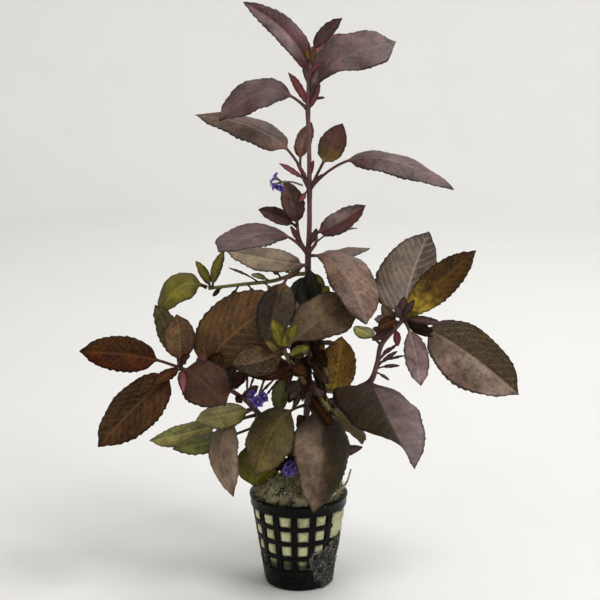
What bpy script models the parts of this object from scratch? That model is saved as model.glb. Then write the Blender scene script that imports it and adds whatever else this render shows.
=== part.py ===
"""Potted giant hygrophila: an aquarium plant with purple-brown leaves in a net pot of rockwool."""

from collections import namedtuple
from math import cos, pi, sin

import bmesh
import bpy
from mathutils import Matrix, Vector

MM = 0.001
GAP = 0.45
SIDES = 8

# Net pot
POT_HEIGHT = 48.0
POT_RIM_RADIUS = 25.0
POT_TOP_RADIUS = 24.0
POT_FOOT_RADIUS = 17.3
POT_WALL = 1.2
POT_FLOOR = 1.6
RIM_BAND = 6.0
RIB_COUNT = 15
RIB_TURN = 0.096
RIB_SHARE = 0.33
WINDOW_ROWS = 4
WINDOW_HEIGHT = 6.2
WINDOW_BAR = 2.0
WINDOW_FOOT = 11.3

# Rockwool plug
PLUG_CLEARANCE = 0.45
PLUG_SIDES = 20
PLUG_RISE = 6.5

# Leaves
BLADE_THICKNESS = 0.9
PETIOLE_RADIUS = 0.75
SHORTEST_STALK = 0.8
LEAST_LEAN = 0.35
BLADE_RINGS = (0.0, 0.12, 0.3, 0.5, 0.7, 0.87)
WIDEST_AT = 0.46
BLADE_TAPER = 0.78
ARCH_SKEW = 0.3

# Stems: the points of each axis, from its root to its tip, and the radii at the two ends
Stem = namedtuple("Stem", "parent root_radius tip_radius points")
STEMS = {
    "stem_main": Stem(None, 1.9, 1.0, (
        (0.5, 0, 46), (1, 0, 60), (3, 0, 78), (4.6, 0, 97), (5.2, 0, 120), (4.6, 0, 145),
        (4.8, 0, 171), (5.4, 0, 186), (5.4, 0, 204), (5.2, 0, 224), (4.6, 0, 243),
        (5.2, 0, 259), (6.4, 0, 273))),
    "stem_right": Stem(None, 1.8, 1.0, (
        (10, 3, 46), (11, 2, 62), (13, -2, 80), (20, -6, 96), (29, -9, 105), (36, -12, 110),
        (39, -12, 119), (41, -11, 128), (47, -10, 135), (52, -10, 141))),
    "stem_left": Stem(None, 1.7, 1.1, (
        (-6, 2, 46), (-9, 2, 62), (-15, 1, 80), (-24, -4, 95), (-36, -14, 107),
        (-48, -22, 115), (-58, -25, 120))),
    "stem_green": Stem("stem_main", 1.2, 0.9, (
        (4.7, 0, 162), (-3, 4, 160.5), (-13, 6, 157), (-28, 5, 155.5), (-45, 0, 154.5))),
    "stem_front": Stem("stem_main", 1.5, 1.1, (
        (5, 0, 103), (3, -9, 108), (-1, -22, 118), (-5, -34, 127), (-7, -40, 133.5))),
    "stem_axil_left": Stem("stem_main", 1.0, 0.8, (
        (4.8, 0, 172), (1, 2, 178), (-0.7, 3, 185))),
    "stem_axil_right": Stem("stem_main", 1.0, 0.8, (
        (4.8, 0, 172), (8.6, -2.5, 178), (8.6, -3, 183))),
}

# Nodes: where leaves grow, as a stem and the node's place on its axis
NODES = {
    "crown": ("stem_main", (5.2, 0, 259)),
    "tip": ("stem_main", (6.4, 0, 271)),
    "upper": ("stem_main", (4.6, 0, 243)),
    "third": ("stem_main", (5.4, 0, 204)),
    "first": ("stem_main", (4.8, 0, 171)),
    "under": ("stem_main", (4.7, 0, 166)),
    "mid": ("stem_main", (4.7, 0, 141)),
    "back": ("stem_main", (5.1, 0, 113)),
    "back_low": ("stem_main", (4.9, 0, 105)),
    "low": ("stem_main", (4.4, 0, 94)),
    "axil_left": ("stem_axil_left", (-0.7, 3, 185)),
    "axil_right": ("stem_axil_right", (8.6, -3, 183)),
    "right_top": ("stem_right", (52, -10, 141)),
    "right_mid": ("stem_right", (41, -11, 128)),
    "right_fork": ("stem_right", (36, -12, 110)),
    "right_low": ("stem_right", (17, -4, 90)),
    "left_top": ("stem_left", (-58, -25, 120)),
    "left_mid": ("stem_left", (-48, -22, 115)),
    "left_low": ("stem_left", (-22.8, -3.3, 93)),
    "left_hang": ("stem_left", (-20.6, -2.1, 89.4)),
    "left_lower": ("stem_left", (-18, -0.7, 85)),
    "left_foot": ("stem_left", (-12, 1.5, 71)),
    "green_top": ("stem_green", (-45, 0, 154.5)),
    "front_top": ("stem_front", (-7, -40, 133.5)),
}

# Young leaves, buds and twigs too small to be pieces of their own: the stem they are fused to, their
# root and tip, and their width
Sprout = namedtuple("Sprout", "stem root tip width")
SPROUTS = (
    Sprout("stem_main", (4.6, 0, 244), (-5, -6, 261.5), 4.5),
    Sprout("stem_main", (4.8, 0, 247.5), (13, -1, 249), 1.8),
    Sprout("stem_main", (5.4, 0, 206), (-1, -2, 217), 2.2),
    Sprout("stem_main", (5.4, 0, 206), (-9.5, -4, 217.5), 3),
    Sprout("stem_main", (5.4, -0.5, 206), (13.5, -8, 213), 1.8),
    Sprout("stem_main", (5.4, 0, 207), (7.5, -2, 219), 2.4),
    Sprout("stem_right", (50.4, -10, 139), (52, -14, 153.5), 5),
    Sprout("stem_right", (51.4, -10, 139.6), (57, -15, 152), 4),
    Sprout("stem_right", (51.3, -10, 140.4), (70.5, -22, 141), 4.5),
    Sprout("stem_right", (49, -10, 137.5), (37, -15, 142), 6),
    Sprout("stem_right", (38.5, -12, 116), (49, -15, 126), 2.4),
    Sprout("stem_right", (38.5, -12, 116), (50, -17, 119), 2.2),
    Sprout("stem_right", (38, -12, 114.5), (45, -17, 111.5), 1.8),
    Sprout("stem_left", (-57, -25, 119.5), (-70, -39, 115), 6),
    Sprout("stem_green", (-44, 0, 154.5), (-51, -3, 169), 5),
    Sprout("stem_green", (-43, 0, 154.5), (-37, 2, 173.5), 5.5),
    Sprout("stem_green", (-20, 5.5, 156.2), (-35.5, 8, 163.5), 1.4),
    Sprout("stem_front", (-7.2, -38.2, 131.6), (-12.5, -46, 149), 7),
    Sprout("stem_front", (-7, -39.4, 132.6), (0, -50, 148.5), 6),
    Sprout("stem_front", (-6.8, -37.6, 131), (-6, -49, 143), 4),
)

# Flower heads: where the stalk leaves, where it ends, and where its florets open, from there
Flower = namedtuple("Flower", "name root head florets")
FLOWERS = (
    Flower("flower_upper", (2, -3, 206.5), (-8, -5.5, 208.5),
           ((-4.4, -1, 3), (-6, -1, -1.8), (-1.5, -2.5, -3))),
    Flower("flower_middle", (-25, -8.5, 98), (-20.5, -18, 101.5),
           ((4, -3.5, 3.4), (0.5, -4, 0.6), (-3.5, -3, 4.4))),
    Flower("flower_low", (-1.5, -3.5, 60), (-4, -9.5, 63),
           ((-2, -3.5, -0.5), (2.2, -3, 1.6), (0.4, -3, 3.4))),
)
PETALS = 5
PETAL_REACH = 2.5
PETAL_NOTCH = 1.2
THROAT_SHARE = 0.7
STALK_RADIUS = 0.5

# Leaves: the node, the tip's place, the way the upper side faces, the blade's width, how far the
# midrib arches up and bows left of the straight line, the angle of each half above the flat (a ridge
# is negative), the petiole's share of the length, where along it the left and the right half are widest,
# how far the arch's top lies toward the stem, how far each half slants toward the tip as it leaves the
# midrib, and how wide each half is for its width
Leaf = namedtuple("Leaf", "name node tip face width arch bow fold stalk widest skew slant halves",
                  defaults=((WIDEST_AT, WIDEST_AT), ARCH_SKEW, (0, 0), (1, 1)))
LEAVES = (
    Leaf("leaf_crown_left", "crown", (-27, 8, 294.5), (0.3, -1, 0.3), 13.5, 6, 0, 16, 0.07, (0.4, 0.4)),
    Leaf("leaf_crown_back", "crown", (27, 17, 278), (-0.3, -1, 0.6), 11.5, 3, 7, 10, 0.3),
    Leaf("leaf_crown_right", "tip", (21, -8, 287), (-0.2, -1, 0.3), 7.5, 1, 0, 20, 0.08),
    Leaf("leaf_upper_right", "upper", (49, 12, 272.5), (-0.4, -1, 0.6), 25, 10.5, 0, 8, 0.2,
         (0.62, 0.62)),
    Leaf("leaf_upper_left", "upper", (-38, -16.5, 239), (-0.3, -1, 0.9), 20, 11, 0, 10, 0.22,
         (0.54, 0.54), 0.3, (0.1, 0.1)),
    Leaf("leaf_third_left", "third", (-52.5, 22, 239), (0.4, -0.8, 0.8), 18.5, 12.5, 0, -8, 0.27,
         (0.36, 0.36)),
    Leaf("leaf_third_right", "third", (75, -15, 206), (0.1, -0.55, 0.85), 17.5, 16, 0, -12, 0.26,
         (0.42, 0.42)),
    Leaf("leaf_axil_red", "third", (6.5, 15, 236), (-0.6, -1, 0.2), 10, 0, 5, 10, 0.46),
    Leaf("leaf_axil_green", "third", (21.5, -6, 237), (-0.1, -1, 0.1), 13, 0, 0, 0, 0.42, (0.42, 0.42)),
    Leaf("leaf_second_back", "axil_left", (-7, -2, 209), (0.2, -1, 0.2), 12, 0, 2, 15, 0.1),
    Leaf("leaf_second_left", "axil_left", (-20, 1, 194), (0.2, -1, 0.7), 9, 1, 0, 12, 0.12),
    Leaf("leaf_second_right", "axil_right", (33, -8, 197.5), (-0.3, -1, 0.6), 12.5, -1, 0, 12, 0.04,
         (0.42, 0.42)),
    Leaf("leaf_second_hook", "first", (30, 9, 183.5), (-0.4, -0.3, 1), 5, 5, 0, 10, 0.45),
    Leaf("leaf_first_left", "first", (-38.5, -26, 177.5), (-0.2, -0.8, 0.8), 21, 10.5, 0, -8, 0.22,
         (0.58, 0.58), 0.3, (-0.5, -0.5), (0.72, 1)),
    Leaf("leaf_first_right", "first", (32, -42, 145.5), (0.4, -0.9, 0.6), 33, 9, 2, -8, 0.06,
         (0.46, 0.6), 0.3, (0, 0), (1.05, 0.56)),
    Leaf("leaf_first_back", "first", (37, 26, 170.4), (0.1, -0.15, 1), 12, -1, 0, 10, 0.2),
    Leaf("leaf_under_left", "under", (-37, 16, 171), (0.1, -0.7, 0.8), 16.5, -0.5, 0, 6, 0.06),
    Leaf("leaf_under_front", "under", (-15, -40, 134), (-0.3, -1, 0.3), 19, 12, 0, -8, 0.42),
    Leaf("leaf_under_right", "mid", (15, -7, 157), (-0.3, -1, 0.5), 11.5, 0, 0, 8, 0.2),
    Leaf("leaf_right_up", "right_top", (66, 14, 181), (0.4, -1, 0.5), 33, 0, 2.5, -14, 0.03, (0.37, 0.42)),
    Leaf("leaf_right_gold", "right_top", (86, -18, 177), (0.3, -1, 0.5), 17.5, 1, 0, 14, 0.06),
    Leaf("leaf_right_out", "right_top", (108, -25, 106.5), (0.4, -1, 0.5), 33, 3.5, 0, -6, 0.17),
    Leaf("leaf_right_hang", "right_top", (60, -24, 110.5), (0, -1, 0.1), 12, 3, 0, 8, 0.18, (0.5, 0.5)),
    Leaf("leaf_right_fork", "right_fork", (54, -66, 82), (0.2, -0.9, 0.7), 37, 3, -2, -6, 0.02,
         (0.5, 0.25), 0.3, (0.1, 0.55), (0.95, 1.08)),
    Leaf("leaf_left_out", "left_top", (-105.5, -32, 130), (-0.1, -1, 0.5), 18, 2.5, 0, 6, 0.22),
    Leaf("leaf_left_down", "left_top", (-96, -45, 86), (-0.3, -1, 0.3), 24, 1.5, 0, -6, 0.1),
    Leaf("leaf_left_front", "left_top", (-34.5, -48, 107.5), (0.1, -1, 0.5), 24, 3, 0, 0, 0.1),
    Leaf("leaf_left_narrow", "left_top", (-71.5, -4, 147), (-0.3, -1, 0.1), 13, 0, -2, 10, 0.16),
    Leaf("leaf_left_upright", "left_top", (-58.5, -28, 147.5), (0.2, -1, 0.1), 15.5, 0, 1, 0, 0.14),
    Leaf("leaf_left_broad", "left_mid", (-7, -28, 155.5), (0.3, -1, 0.6), 35, 4, 0, -4, 0.06),
    Leaf("leaf_green_curl", "green_top", (-68.5, -6, 142.5), (-0.6, -1, 0.7), 18, 8, 0, 0, 0.08,
         (0.46, 0.46), 0.3, (-0.2, -0.2)),
    Leaf("leaf_front_left", "front_top", (-31.5, -50, 128), (-0.1, -0.65, 0.75), 20, -2.5, 0, 10, 0.1),
    Leaf("leaf_front_right", "front_top", (26, -25, 156), (-0.4, -1, 0.7), 27, 0, 0, 8, 0.1, (0.5, 0.62)),
    Leaf("leaf_right_pale", "right_mid", (28, 4, 134), (0, -0.6, 0.9), 9, 1, 0, 0, 0.3),
    Leaf("leaf_low_orange", "right_low", (22, 6, 128.5), (0.3, -1, 0.2), 20, 0, 0, 0, 0.26),
    Leaf("leaf_low_small", "left_foot", (-8.5, 4, 108), (-0.1, -1, 0.2), 9, 0, 0, 0, 0.5),
    Leaf("leaf_low_left", "low", (-20.5, -34, 67), (-0.4, -1, 0.5), 29, 7, -3, -6, 0.18,
         (0.42, 0.42), 0.3, (0, 0), (1.12, 0.92)),
    Leaf("leaf_low_front", "low", (7, -42, 52), (0.2, -1, 0.3), 34, 8, 5, -16, 0.1,
         (0.34, 0.36), 0.3, (0, 0), (1, 0.8)),
    Leaf("leaf_low_hang", "left_hang", (-32, -26, 54), (-0.7, -1, 0.2), 19, 11, -10, -5, 0.18),
    Leaf("leaf_green_long", "left_low", (-78, 14, 70.5), (-0.1, -0.7, 0.8), 14, -2.5, 0, 0, 0.36),
    Leaf("leaf_green_low", "left_lower", (-64, -8, 73), (-0.1, -0.8, 0.8), 12, -2, 0, 0, 0.3),
    Leaf("leaf_green_short", "left_low", (-51.5, -14, 90), (-0.1, -0.8, 0.8), 15, 0, 0, 0, 0.1),
    Leaf("leaf_low_green", "left_lower", (-22, -6, 52), (0.2, -1, 0.3), 23, 0, 0, 0, 0.24, (0.56, 0.56)),
    Leaf("leaf_low_back", "low", (34, 24, 65), (0.3, 0.4, 1), 20, 9, 0, -6, 0.2),
    Leaf("leaf_back_left", "back", (-38, 46, 108), (-0.2, 0.6, 1), 30, 12, 0, -6, 0.2),
    Leaf("leaf_back_right", "back_low", (50, 45, 84), (0.2, 0.6, 1), 28, 3, 0, -6, 0.2),
    Leaf("leaf_back_middle", "mid", (0, 62, 128), (0, 0.5, 1), 30, 12, 0, -6, 0.2),
)


def material(name, color, roughness, metallic=0.0):
    made = bpy.data.materials.new(name)
    made.use_nodes = True
    shader = made.node_tree.nodes["Principled BSDF"]
    shader.inputs["Base Color"].default_value = (*color, 1)
    shader.inputs["Roughness"].default_value = roughness
    shader.inputs["Metallic"].default_value = metallic
    return made


def add_object(name, mesh, parent, surface, place=None):
    made = bpy.data.objects.new(name, mesh)
    mesh.materials.append(surface)
    if place:
        made.matrix_world = place
    made.parent = parent
    bpy.context.scene.collection.objects.link(made)
    return made


def mesh_of(name, points, faces, smooth=True):
    """A mesh from points in mm and faces, with its normals turned outward."""
    shape = bmesh.new()
    corners = [shape.verts.new(Vector(point) * MM) for point in points]
    for face in faces:
        shape.faces.new([corners[index] for index in face])
    bmesh.ops.recalc_face_normals(shape, faces=shape.faces)
    mesh = bpy.data.meshes.new(name)
    shape.to_mesh(mesh)
    shape.free()
    if smooth:
        mesh.shade_smooth()
    return mesh


def loft(rings, tip=None):
    """The points and faces of a skin over rings of equal count, capped, or closed to a tip point."""
    count = len(rings[0])
    points = [point for ring in rings for point in ring]
    faces = [tuple(reversed(range(count)))]
    for start in range(0, len(points) - count, count):
        for side in range(count):
            after = (side + 1) % count
            faces.append((start + side, start + after, start + count + after, start + count + side))
    last = len(points) - count
    if tip is None:
        faces.append(tuple(range(last, last + count)))
    else:
        points.append(tip)
        for side in range(count):
            faces.append((last + side, last + (side + 1) % count, last + count))
    return points, faces


def circle(centre, direction, radius, sides=SIDES, notch=None):
    """Points around a centre, square to a direction. With a notch, every second point lies at that radius."""
    turn = Vector((0, 0, 1)).rotation_difference(direction)
    ring = []
    for side in range(sides):
        reach = notch if notch and side % 2 else radius
        angle = 2 * pi * side / sides
        ring.append(centre + turn @ Vector((reach * cos(angle), reach * sin(angle), 0)))
    return ring


def stem_radius(stem, share):
    return stem.root_radius + (stem.tip_radius - stem.root_radius) * share


def stem_near(stem, place):
    """The stem's radius and direction where it passes a place."""
    points = [Vector(point) for point in stem.points]
    index = min(range(len(points) - 1), key=lambda i: ((points[i] + points[i + 1]) / 2 - place).length)
    share = (index + 0.5) / (len(points) - 1)
    return stem_radius(stem, share), (points[index + 1] - points[index]).normalized()


def stem_rings(stem):
    path = [Vector(point) for point in stem.points]
    if stem.parent:
        path = path_clear_of(path, STEMS[stem.parent].root_radius + GAP)
    rings = []
    for index, centre in enumerate(path):
        before, after = path[max(index - 1, 0)], path[min(index + 1, len(path) - 1)]
        rings.append(circle(centre, after - before, stem_radius(stem, index / (len(path) - 1))))
    return rings


def path_clear_of(path, distance):
    """The path with its first point moved along it, that far from where it starts."""
    run = path[1] - path[0]
    across = Vector((run.x, run.y, 0)).length / run.length
    start = path[0] + run.normalized() * distance / max(across, 0.4)
    return [start, *path[1:]]


def sprout_mesh(root, tip, width):
    """A small pointed blade or twig with a diamond section."""
    root, tip = Vector(root), Vector(tip)
    run = tip - root
    side = run.cross((0, 1, 0)).normalized()
    face = run.cross(side).normalized()
    rings = []
    for share, half in ((0, 0.5), (0.45, width / 2), (0.75, width / 3)):
        thick = 0.3 + 0.2 * (1 - share)
        centre = root + run * share
        rings.append([centre + step for step in (side * half, face * thick, -side * half, -face * thick)])
    return mesh_of("sprout", *loft(rings, tip))


def fuse(body, mesh, name, operation="UNION"):
    """Joins a hidden helper to the body, or cuts it out, with a Boolean modifier."""
    helper = bpy.data.objects.new(name, mesh)
    helper.hide_render = True
    helper.display_type = "WIRE"
    helper.parent = body.parent
    bpy.context.scene.collection.objects.link(helper)
    modifier = body.modifiers.new(name, "BOOLEAN")
    modifier.solver = "EXACT"
    modifier.operation = operation
    modifier.object = helper


def make_stems(parent, surface):
    for name, stem in STEMS.items():
        body = add_object(name, mesh_of(name, *loft(stem_rings(stem))), parent, surface)
        for sprout in SPROUTS:
            if sprout.stem == name:
                fuse(body, sprout_mesh(sprout.root, sprout.tip, sprout.width), name + "_sprout")


def floret_mesh(root, opening):
    """A tube that opens into a star of petals."""
    ahead = opening - root
    throat = root + ahead * THROAT_SHARE
    rings = [circle(centre, ahead, STALK_RADIUS, 2 * PETALS) for centre in (root, throat)]
    rings.append(circle(opening, ahead, PETAL_REACH, 2 * PETALS, PETAL_NOTCH))
    return mesh_of("floret", *loft(rings, opening))


def make_flowers(parent, surface):
    """Each flower head is a stalk and the florets at its end, fused into one piece."""
    for flower in FLOWERS:
        root, head = Vector(flower.root), Vector(flower.head)
        rings = [circle(end, head - root, STALK_RADIUS) for end in (root, head)]
        body = add_object(flower.name, mesh_of(flower.name, *loft(rings)), parent, surface)
        for offset in flower.florets:
            step = Vector(offset)
            root = head - step.normalized() * STALK_RADIUS / 2
            fuse(body, floret_mesh(root, head + step), flower.name + "_floret")


def blade_width(share, widest):
    """Half the blade's width at a share of its length, with 1 at its widest."""
    base_power = BLADE_TAPER * widest / (1 - widest)
    full = widest**base_power * (1 - widest)**BLADE_TAPER
    return share**base_power * (1 - share)**BLADE_TAPER / full


def leaf_frame(leaf):
    """The leaf's base, length and axes: X runs to the tip, Y lies flat to its left, and Z is up."""
    base = Vector(NODES[leaf.node][1])
    run = Vector(leaf.tip) - base
    along = run.normalized()
    left = Vector((-along.y, along.x, 0)).normalized()
    return base, run.length, Matrix((along, left, along.cross(left))).transposed()


def midrib(leaf, length, share):
    """A point of the leaf's midrib in its own axes."""
    u = share + leaf.skew * share * (1 - share)
    hump = 4 * u * (1 - u)
    return Vector((length * share, leaf.bow * hump, leaf.arch * hump))


def leaf_start(leaf, length, axes):
    """How far along its line the leaf starts, clear of its stem."""
    stem_name, place = NODES[leaf.node]
    radius, axis = stem_near(STEMS[stem_name], Vector(place))
    ahead = axes @ (midrib(leaf, length, 0.1) - midrib(leaf, length, 0)).normalized()
    lean = max(ahead.cross(axis).length, LEAST_LEAN)
    return (radius + PETIOLE_RADIUS + GAP) / lean / length


def leaf_rings(leaf, start, length, face):
    """The rings of a leaf in its own axes, from the petiole's foot to near the tip, and the tip."""
    rise, slope = sin(leaf.fold * pi / 180), cos(leaf.fold * pi / 180)
    stalk = max(leaf.stalk, start + SHORTEST_STALK / length)
    rings = []
    for t in [start] + [stalk + (1 - stalk) * share for share in BLADE_RINGS]:
        share = max((t - stalk) / (1 - stalk), 0)
        ahead = (midrib(leaf, length, t + 0.01) - midrib(leaf, length, t - 0.01)).normalized()
        left = face.cross(ahead).normalized()
        up = ahead.cross(left)
        thick = PETIOLE_RADIUS + (BLADE_THICKNESS / 2 - PETIOLE_RADIUS) * min(4 * share, 1)
        ring = []
        for side in range(SIDES):
            turn = 2 * pi * side / SIDES
            across = PETIOLE_RADIUS * cos(turn)
            fold = left * across
            if share:
                on_right = across < 0
                half = leaf.width / 2 * leaf.halves[on_right] * blade_width(share, leaf.widest[on_right])
                across = half * cos(turn)
                fold = (left * slope + ahead * leaf.slant[on_right]) * across + up * abs(across) * rise
            ring.append(midrib(leaf, length, t) + fold + up * thick * sin(turn))
        rings.append(ring)
    return rings, midrib(leaf, length, 1)


def make_leaves(parent, surface):
    for leaf in LEAVES:
        base, length, axes = leaf_frame(leaf)
        start = leaf_start(leaf, length, axes)
        rings, tip = leaf_rings(leaf, start, length, axes.transposed() @ Vector(leaf.face))
        place = Matrix.Translation(base * MM) @ axes.to_4x4()
        add_object(leaf.name, mesh_of(leaf.name, *loft(rings, tip)), parent, surface, place)


def pot_radius(z):
    """The outer radius of the pot's tapering wall."""
    return POT_FOOT_RADIUS + (POT_TOP_RADIUS - POT_FOOT_RADIUS) * z / (POT_HEIGHT - RIM_BAND)


def make_pot(parent, surface):
    """A basket whose wall is laid out as a grid, with the window cells left open."""
    band_foot = POT_HEIGHT - RIM_BAND
    heights = [POT_FLOOR]
    for row in range(WINDOW_ROWS):
        foot = WINDOW_FOOT + row * (WINDOW_HEIGHT + WINDOW_BAR)
        heights += [foot, foot + WINDOW_HEIGHT]
    rib_half = pi / RIB_COUNT * RIB_SHARE
    angles = []
    for rib in range(RIB_COUNT):
        middle = 2 * pi * rib / RIB_COUNT - pi / 2 - RIB_TURN
        angles += [middle - rib_half, middle + rib_half]
    open_rows = range(1, len(heights) - 1, 2)
    profile_out = [(pot_radius(0), 0.0)] + [(pot_radius(z), z) for z in heights]
    profile_out += [(POT_RIM_RADIUS, band_foot), (POT_RIM_RADIUS, POT_HEIGHT)]
    profile_in = [(pot_radius(z) - POT_WALL, z) for z in heights]
    profile_in += [(POT_TOP_RADIUS - POT_WALL, POT_HEIGHT)]
    points, faces = [], []
    count = len(angles)

    def ring(radius, z):
        first = len(points)
        points.extend((radius * cos(a), radius * sin(a), z) for a in angles)
        return first

    outer = [ring(*place) for place in profile_out]
    inner = [ring(*place) for place in profile_in]

    def wall(lower, upper, step=1):
        """Joins two rings all the way round, or with a step of 2 at the ribs only."""
        for cell in range(0, count, step):
            after = (cell + 1) % count
            faces.append((lower + cell, lower + after, upper + after, upper + cell))

    wall(outer[0], outer[1])
    for row in range(len(heights) - 1):
        step = 2 if row in open_rows else 1
        wall(outer[row + 1], outer[row + 2], step)
        wall(inner[row], inner[row + 1], step)
    for lower, upper in zip(outer[len(heights):], outer[len(heights) + 1:]):
        wall(lower, upper)
    wall(inner[-2], inner[-1])
    wall(outer[-1], inner[-1])
    for row in open_rows:
        low_out, high_out = outer[row + 1], outer[row + 2]
        low_in, high_in = inner[row], inner[row + 1]
        for cell in range(1, count, 2):
            after = (cell + 1) % count
            faces.append((low_out + cell, low_out + after, low_in + after, low_in + cell))
            faces.append((high_out + cell, high_out + after, high_in + after, high_in + cell))
            faces.append((low_out + cell, high_out + cell, high_in + cell, low_in + cell))
            faces.append((low_out + after, high_out + after, high_in + after, low_in + after))
    faces.append(tuple(range(outer[0], outer[0] + count)))
    faces.append(tuple(range(inner[0], inner[0] + count)))
    add_object("net_pot", mesh_of("net_pot", points, faces, smooth=False), parent, surface)


def make_rockwool(parent, surface):
    """A tapered plug with a domed top, drilled for the stems that grow out of it."""
    def reach(z):
        return pot_radius(min(z, POT_HEIGHT - RIM_BAND)) - POT_WALL - PLUG_CLEARANCE

    profile = [(reach(z), z) for z in (POT_FLOOR + PLUG_CLEARANCE, POT_HEIGHT - RIM_BAND, POT_HEIGHT)]
    profile += [(reach(POT_HEIGHT) * cos(a), POT_HEIGHT + PLUG_RISE * sin(a)) for a in (0.5, 0.9, 1.25)]
    rings = [[(radius * cos(a), radius * sin(a), z)
              for a in (2 * pi * side / PLUG_SIDES for side in range(PLUG_SIDES))]
             for radius, z in profile]
    plug = add_object("rockwool", mesh_of("rockwool", *loft(rings)), parent, surface)
    for name, stem in STEMS.items():
        if not stem.parent:
            fuse(plug, socket_mesh(stem), name + "_socket", "DIFFERENCE")


def socket_mesh(stem):
    """A hole that follows the foot of a stem, wider than it by the gap."""
    foot, above = Vector(stem.points[0]), Vector(stem.points[1])
    lean = (above - foot).normalized()
    ends = (foot - lean * GAP, above + lean * GAP)
    rings = [circle(end, lean, stem.root_radius + GAP) for end in ends]
    return mesh_of("socket", *loft(rings))


def main():
    for old in list(bpy.data.objects):
        bpy.data.objects.remove(old)
    black_plastic = material("black_plastic", (0.012, 0.011, 0.010), 0.38)
    mineral_wool = material("mineral_wool", (0.42, 0.37, 0.2), 0.95)
    stem_skin = material("stem_skin", (0.12, 0.045, 0.035), 0.45)
    leaf_skin = material("leaf_skin", (0.13, 0.075, 0.06), 0.5)
    petal = material("petal", (0.14, 0.08, 0.4), 0.6)
    plant = bpy.data.objects.new("plant", None)
    bpy.context.scene.collection.objects.link(plant)
    make_pot(plant, black_plastic)
    make_rockwool(plant, mineral_wool)
    make_stems(plant, stem_skin)
    make_leaves(plant, leaf_skin)
    make_flowers(plant, petal)
    bpy.context.view_layer.update()


main()
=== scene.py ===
"""Potted giant hygrophila: the looks of the plant, its net pot and its rockwool."""

from collections import namedtuple
from math import ceil, cos, pi, radians, sin

import bmesh
import bpy
import numpy as np
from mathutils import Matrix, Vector


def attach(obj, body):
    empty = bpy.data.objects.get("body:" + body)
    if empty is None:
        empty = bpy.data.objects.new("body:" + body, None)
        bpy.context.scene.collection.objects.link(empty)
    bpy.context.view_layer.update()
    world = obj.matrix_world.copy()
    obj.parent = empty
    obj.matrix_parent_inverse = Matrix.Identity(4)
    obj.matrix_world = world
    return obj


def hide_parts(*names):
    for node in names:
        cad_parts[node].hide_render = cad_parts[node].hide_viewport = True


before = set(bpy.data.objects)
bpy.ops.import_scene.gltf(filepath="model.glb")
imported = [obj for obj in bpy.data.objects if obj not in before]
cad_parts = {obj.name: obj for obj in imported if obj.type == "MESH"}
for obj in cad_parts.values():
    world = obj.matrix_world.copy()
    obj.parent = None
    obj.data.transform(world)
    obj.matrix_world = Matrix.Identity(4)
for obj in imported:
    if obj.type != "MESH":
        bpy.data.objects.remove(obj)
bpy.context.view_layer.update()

# Lengths are in mm and angles in radians, unless a comment says otherwise
MM = 0.001

# Net pot
POT_HEIGHT = 48.0
POT_TOP_RADIUS = 24.0
POT_FOOT_RADIUS = 17.3
POT_WALL = 1.2
POT_FLOOR = 1.6
POT_BEVEL = 0.32
RIM_BAND = 6.0
RIM_FOOT = POT_HEIGHT - RIM_BAND
RIB_COUNT = 15
RIB_PITCH = 2 * pi / RIB_COUNT
RIB_TURN = 0.096
RIB_SHARE = 0.33
RIB_STRIPS = 3
WINDOW_STRIPS = 5
WINDOW_ROWS = 4
WINDOW_HEIGHT = 6.2
WINDOW_BAR = 2.0
WINDOW_FOOT = 11.3

# The rolled rim's profile, as radius and height, up its outer side and down inside
RIM_PROFILE = (
    (24.0, RIM_FOOT), (24.55, RIM_FOOT + 0.15), (24.75, RIM_FOOT + 0.9), (24.75, 46.3), (25.15, 46.7),
    (25.3, 47.2), (25.2, 47.8), (24.8, 48.1), (23.9, 48.15), (23.2, 47.9), (22.85, 47.3), (22.75, 46),
)

# Rockwool plug: its surface has rings of points up the wall and over the top, with a low heap on it
PLUG_CLEARANCE = 0.45
PLUG_RISE = 6.5
PLUG_SIDES = 240
PLUG_WALL_ROWS = 96
PLUG_TOP_ROWS = 40
HEAP_PLACE = (-9, -9)
HEAP_SPREAD = (7, 8)
HEAP_HEIGHT = 3.2
TOP_FIBRES = 2400
WINDOW_FIBRES = 1100
ROOT_COUNT = 1300
ROOT_MAT_THICKNESS = 0.5

# Dry straws in the rockwool, by their courses
STRAWS = (
    ((14, -13, 49), (19, -14.5, 52), (24, -14, 57), (26.5, -12.5, 64)),
    ((-12, -15, 50.5), (-8, -17.5, 53), (-3, -18, 52.5)),
)

# Leaves: from TIP_SHARE of its length on a blade narrows almost straight to its tip, and a blade shorter
# than SMALL_BLADE has smaller teeth
BLADE_THICKNESS = 0.45
PETIOLE_RADIUS = 0.72
SHORTEST_STALK = 0.8
SMALL_BLADE = 30
WIDEST_AT = 0.46
BLADE_TAPER = 0.78
TIP_SHARE = 0.87
ARCH_SKEW = 0.3
ROW_STEP = 0.85
STALK_ROW_STEP = 1.6
TOOTH_SPACING = 3.4
TOOTH_DEPTH = 0.55
NOTCH_DEPTH = 0.12
GROOVE_DEPTH = 0.28

# Petals and stamens
PETAL_COUNT = 5
PETAL_LENGTH = 3.3
PETAL_WIDTH = 1.75
PETAL_LIFT = 1.1
PETAL_THICKNESS = 0.12
STAMEN_COUNT = 4

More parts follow.
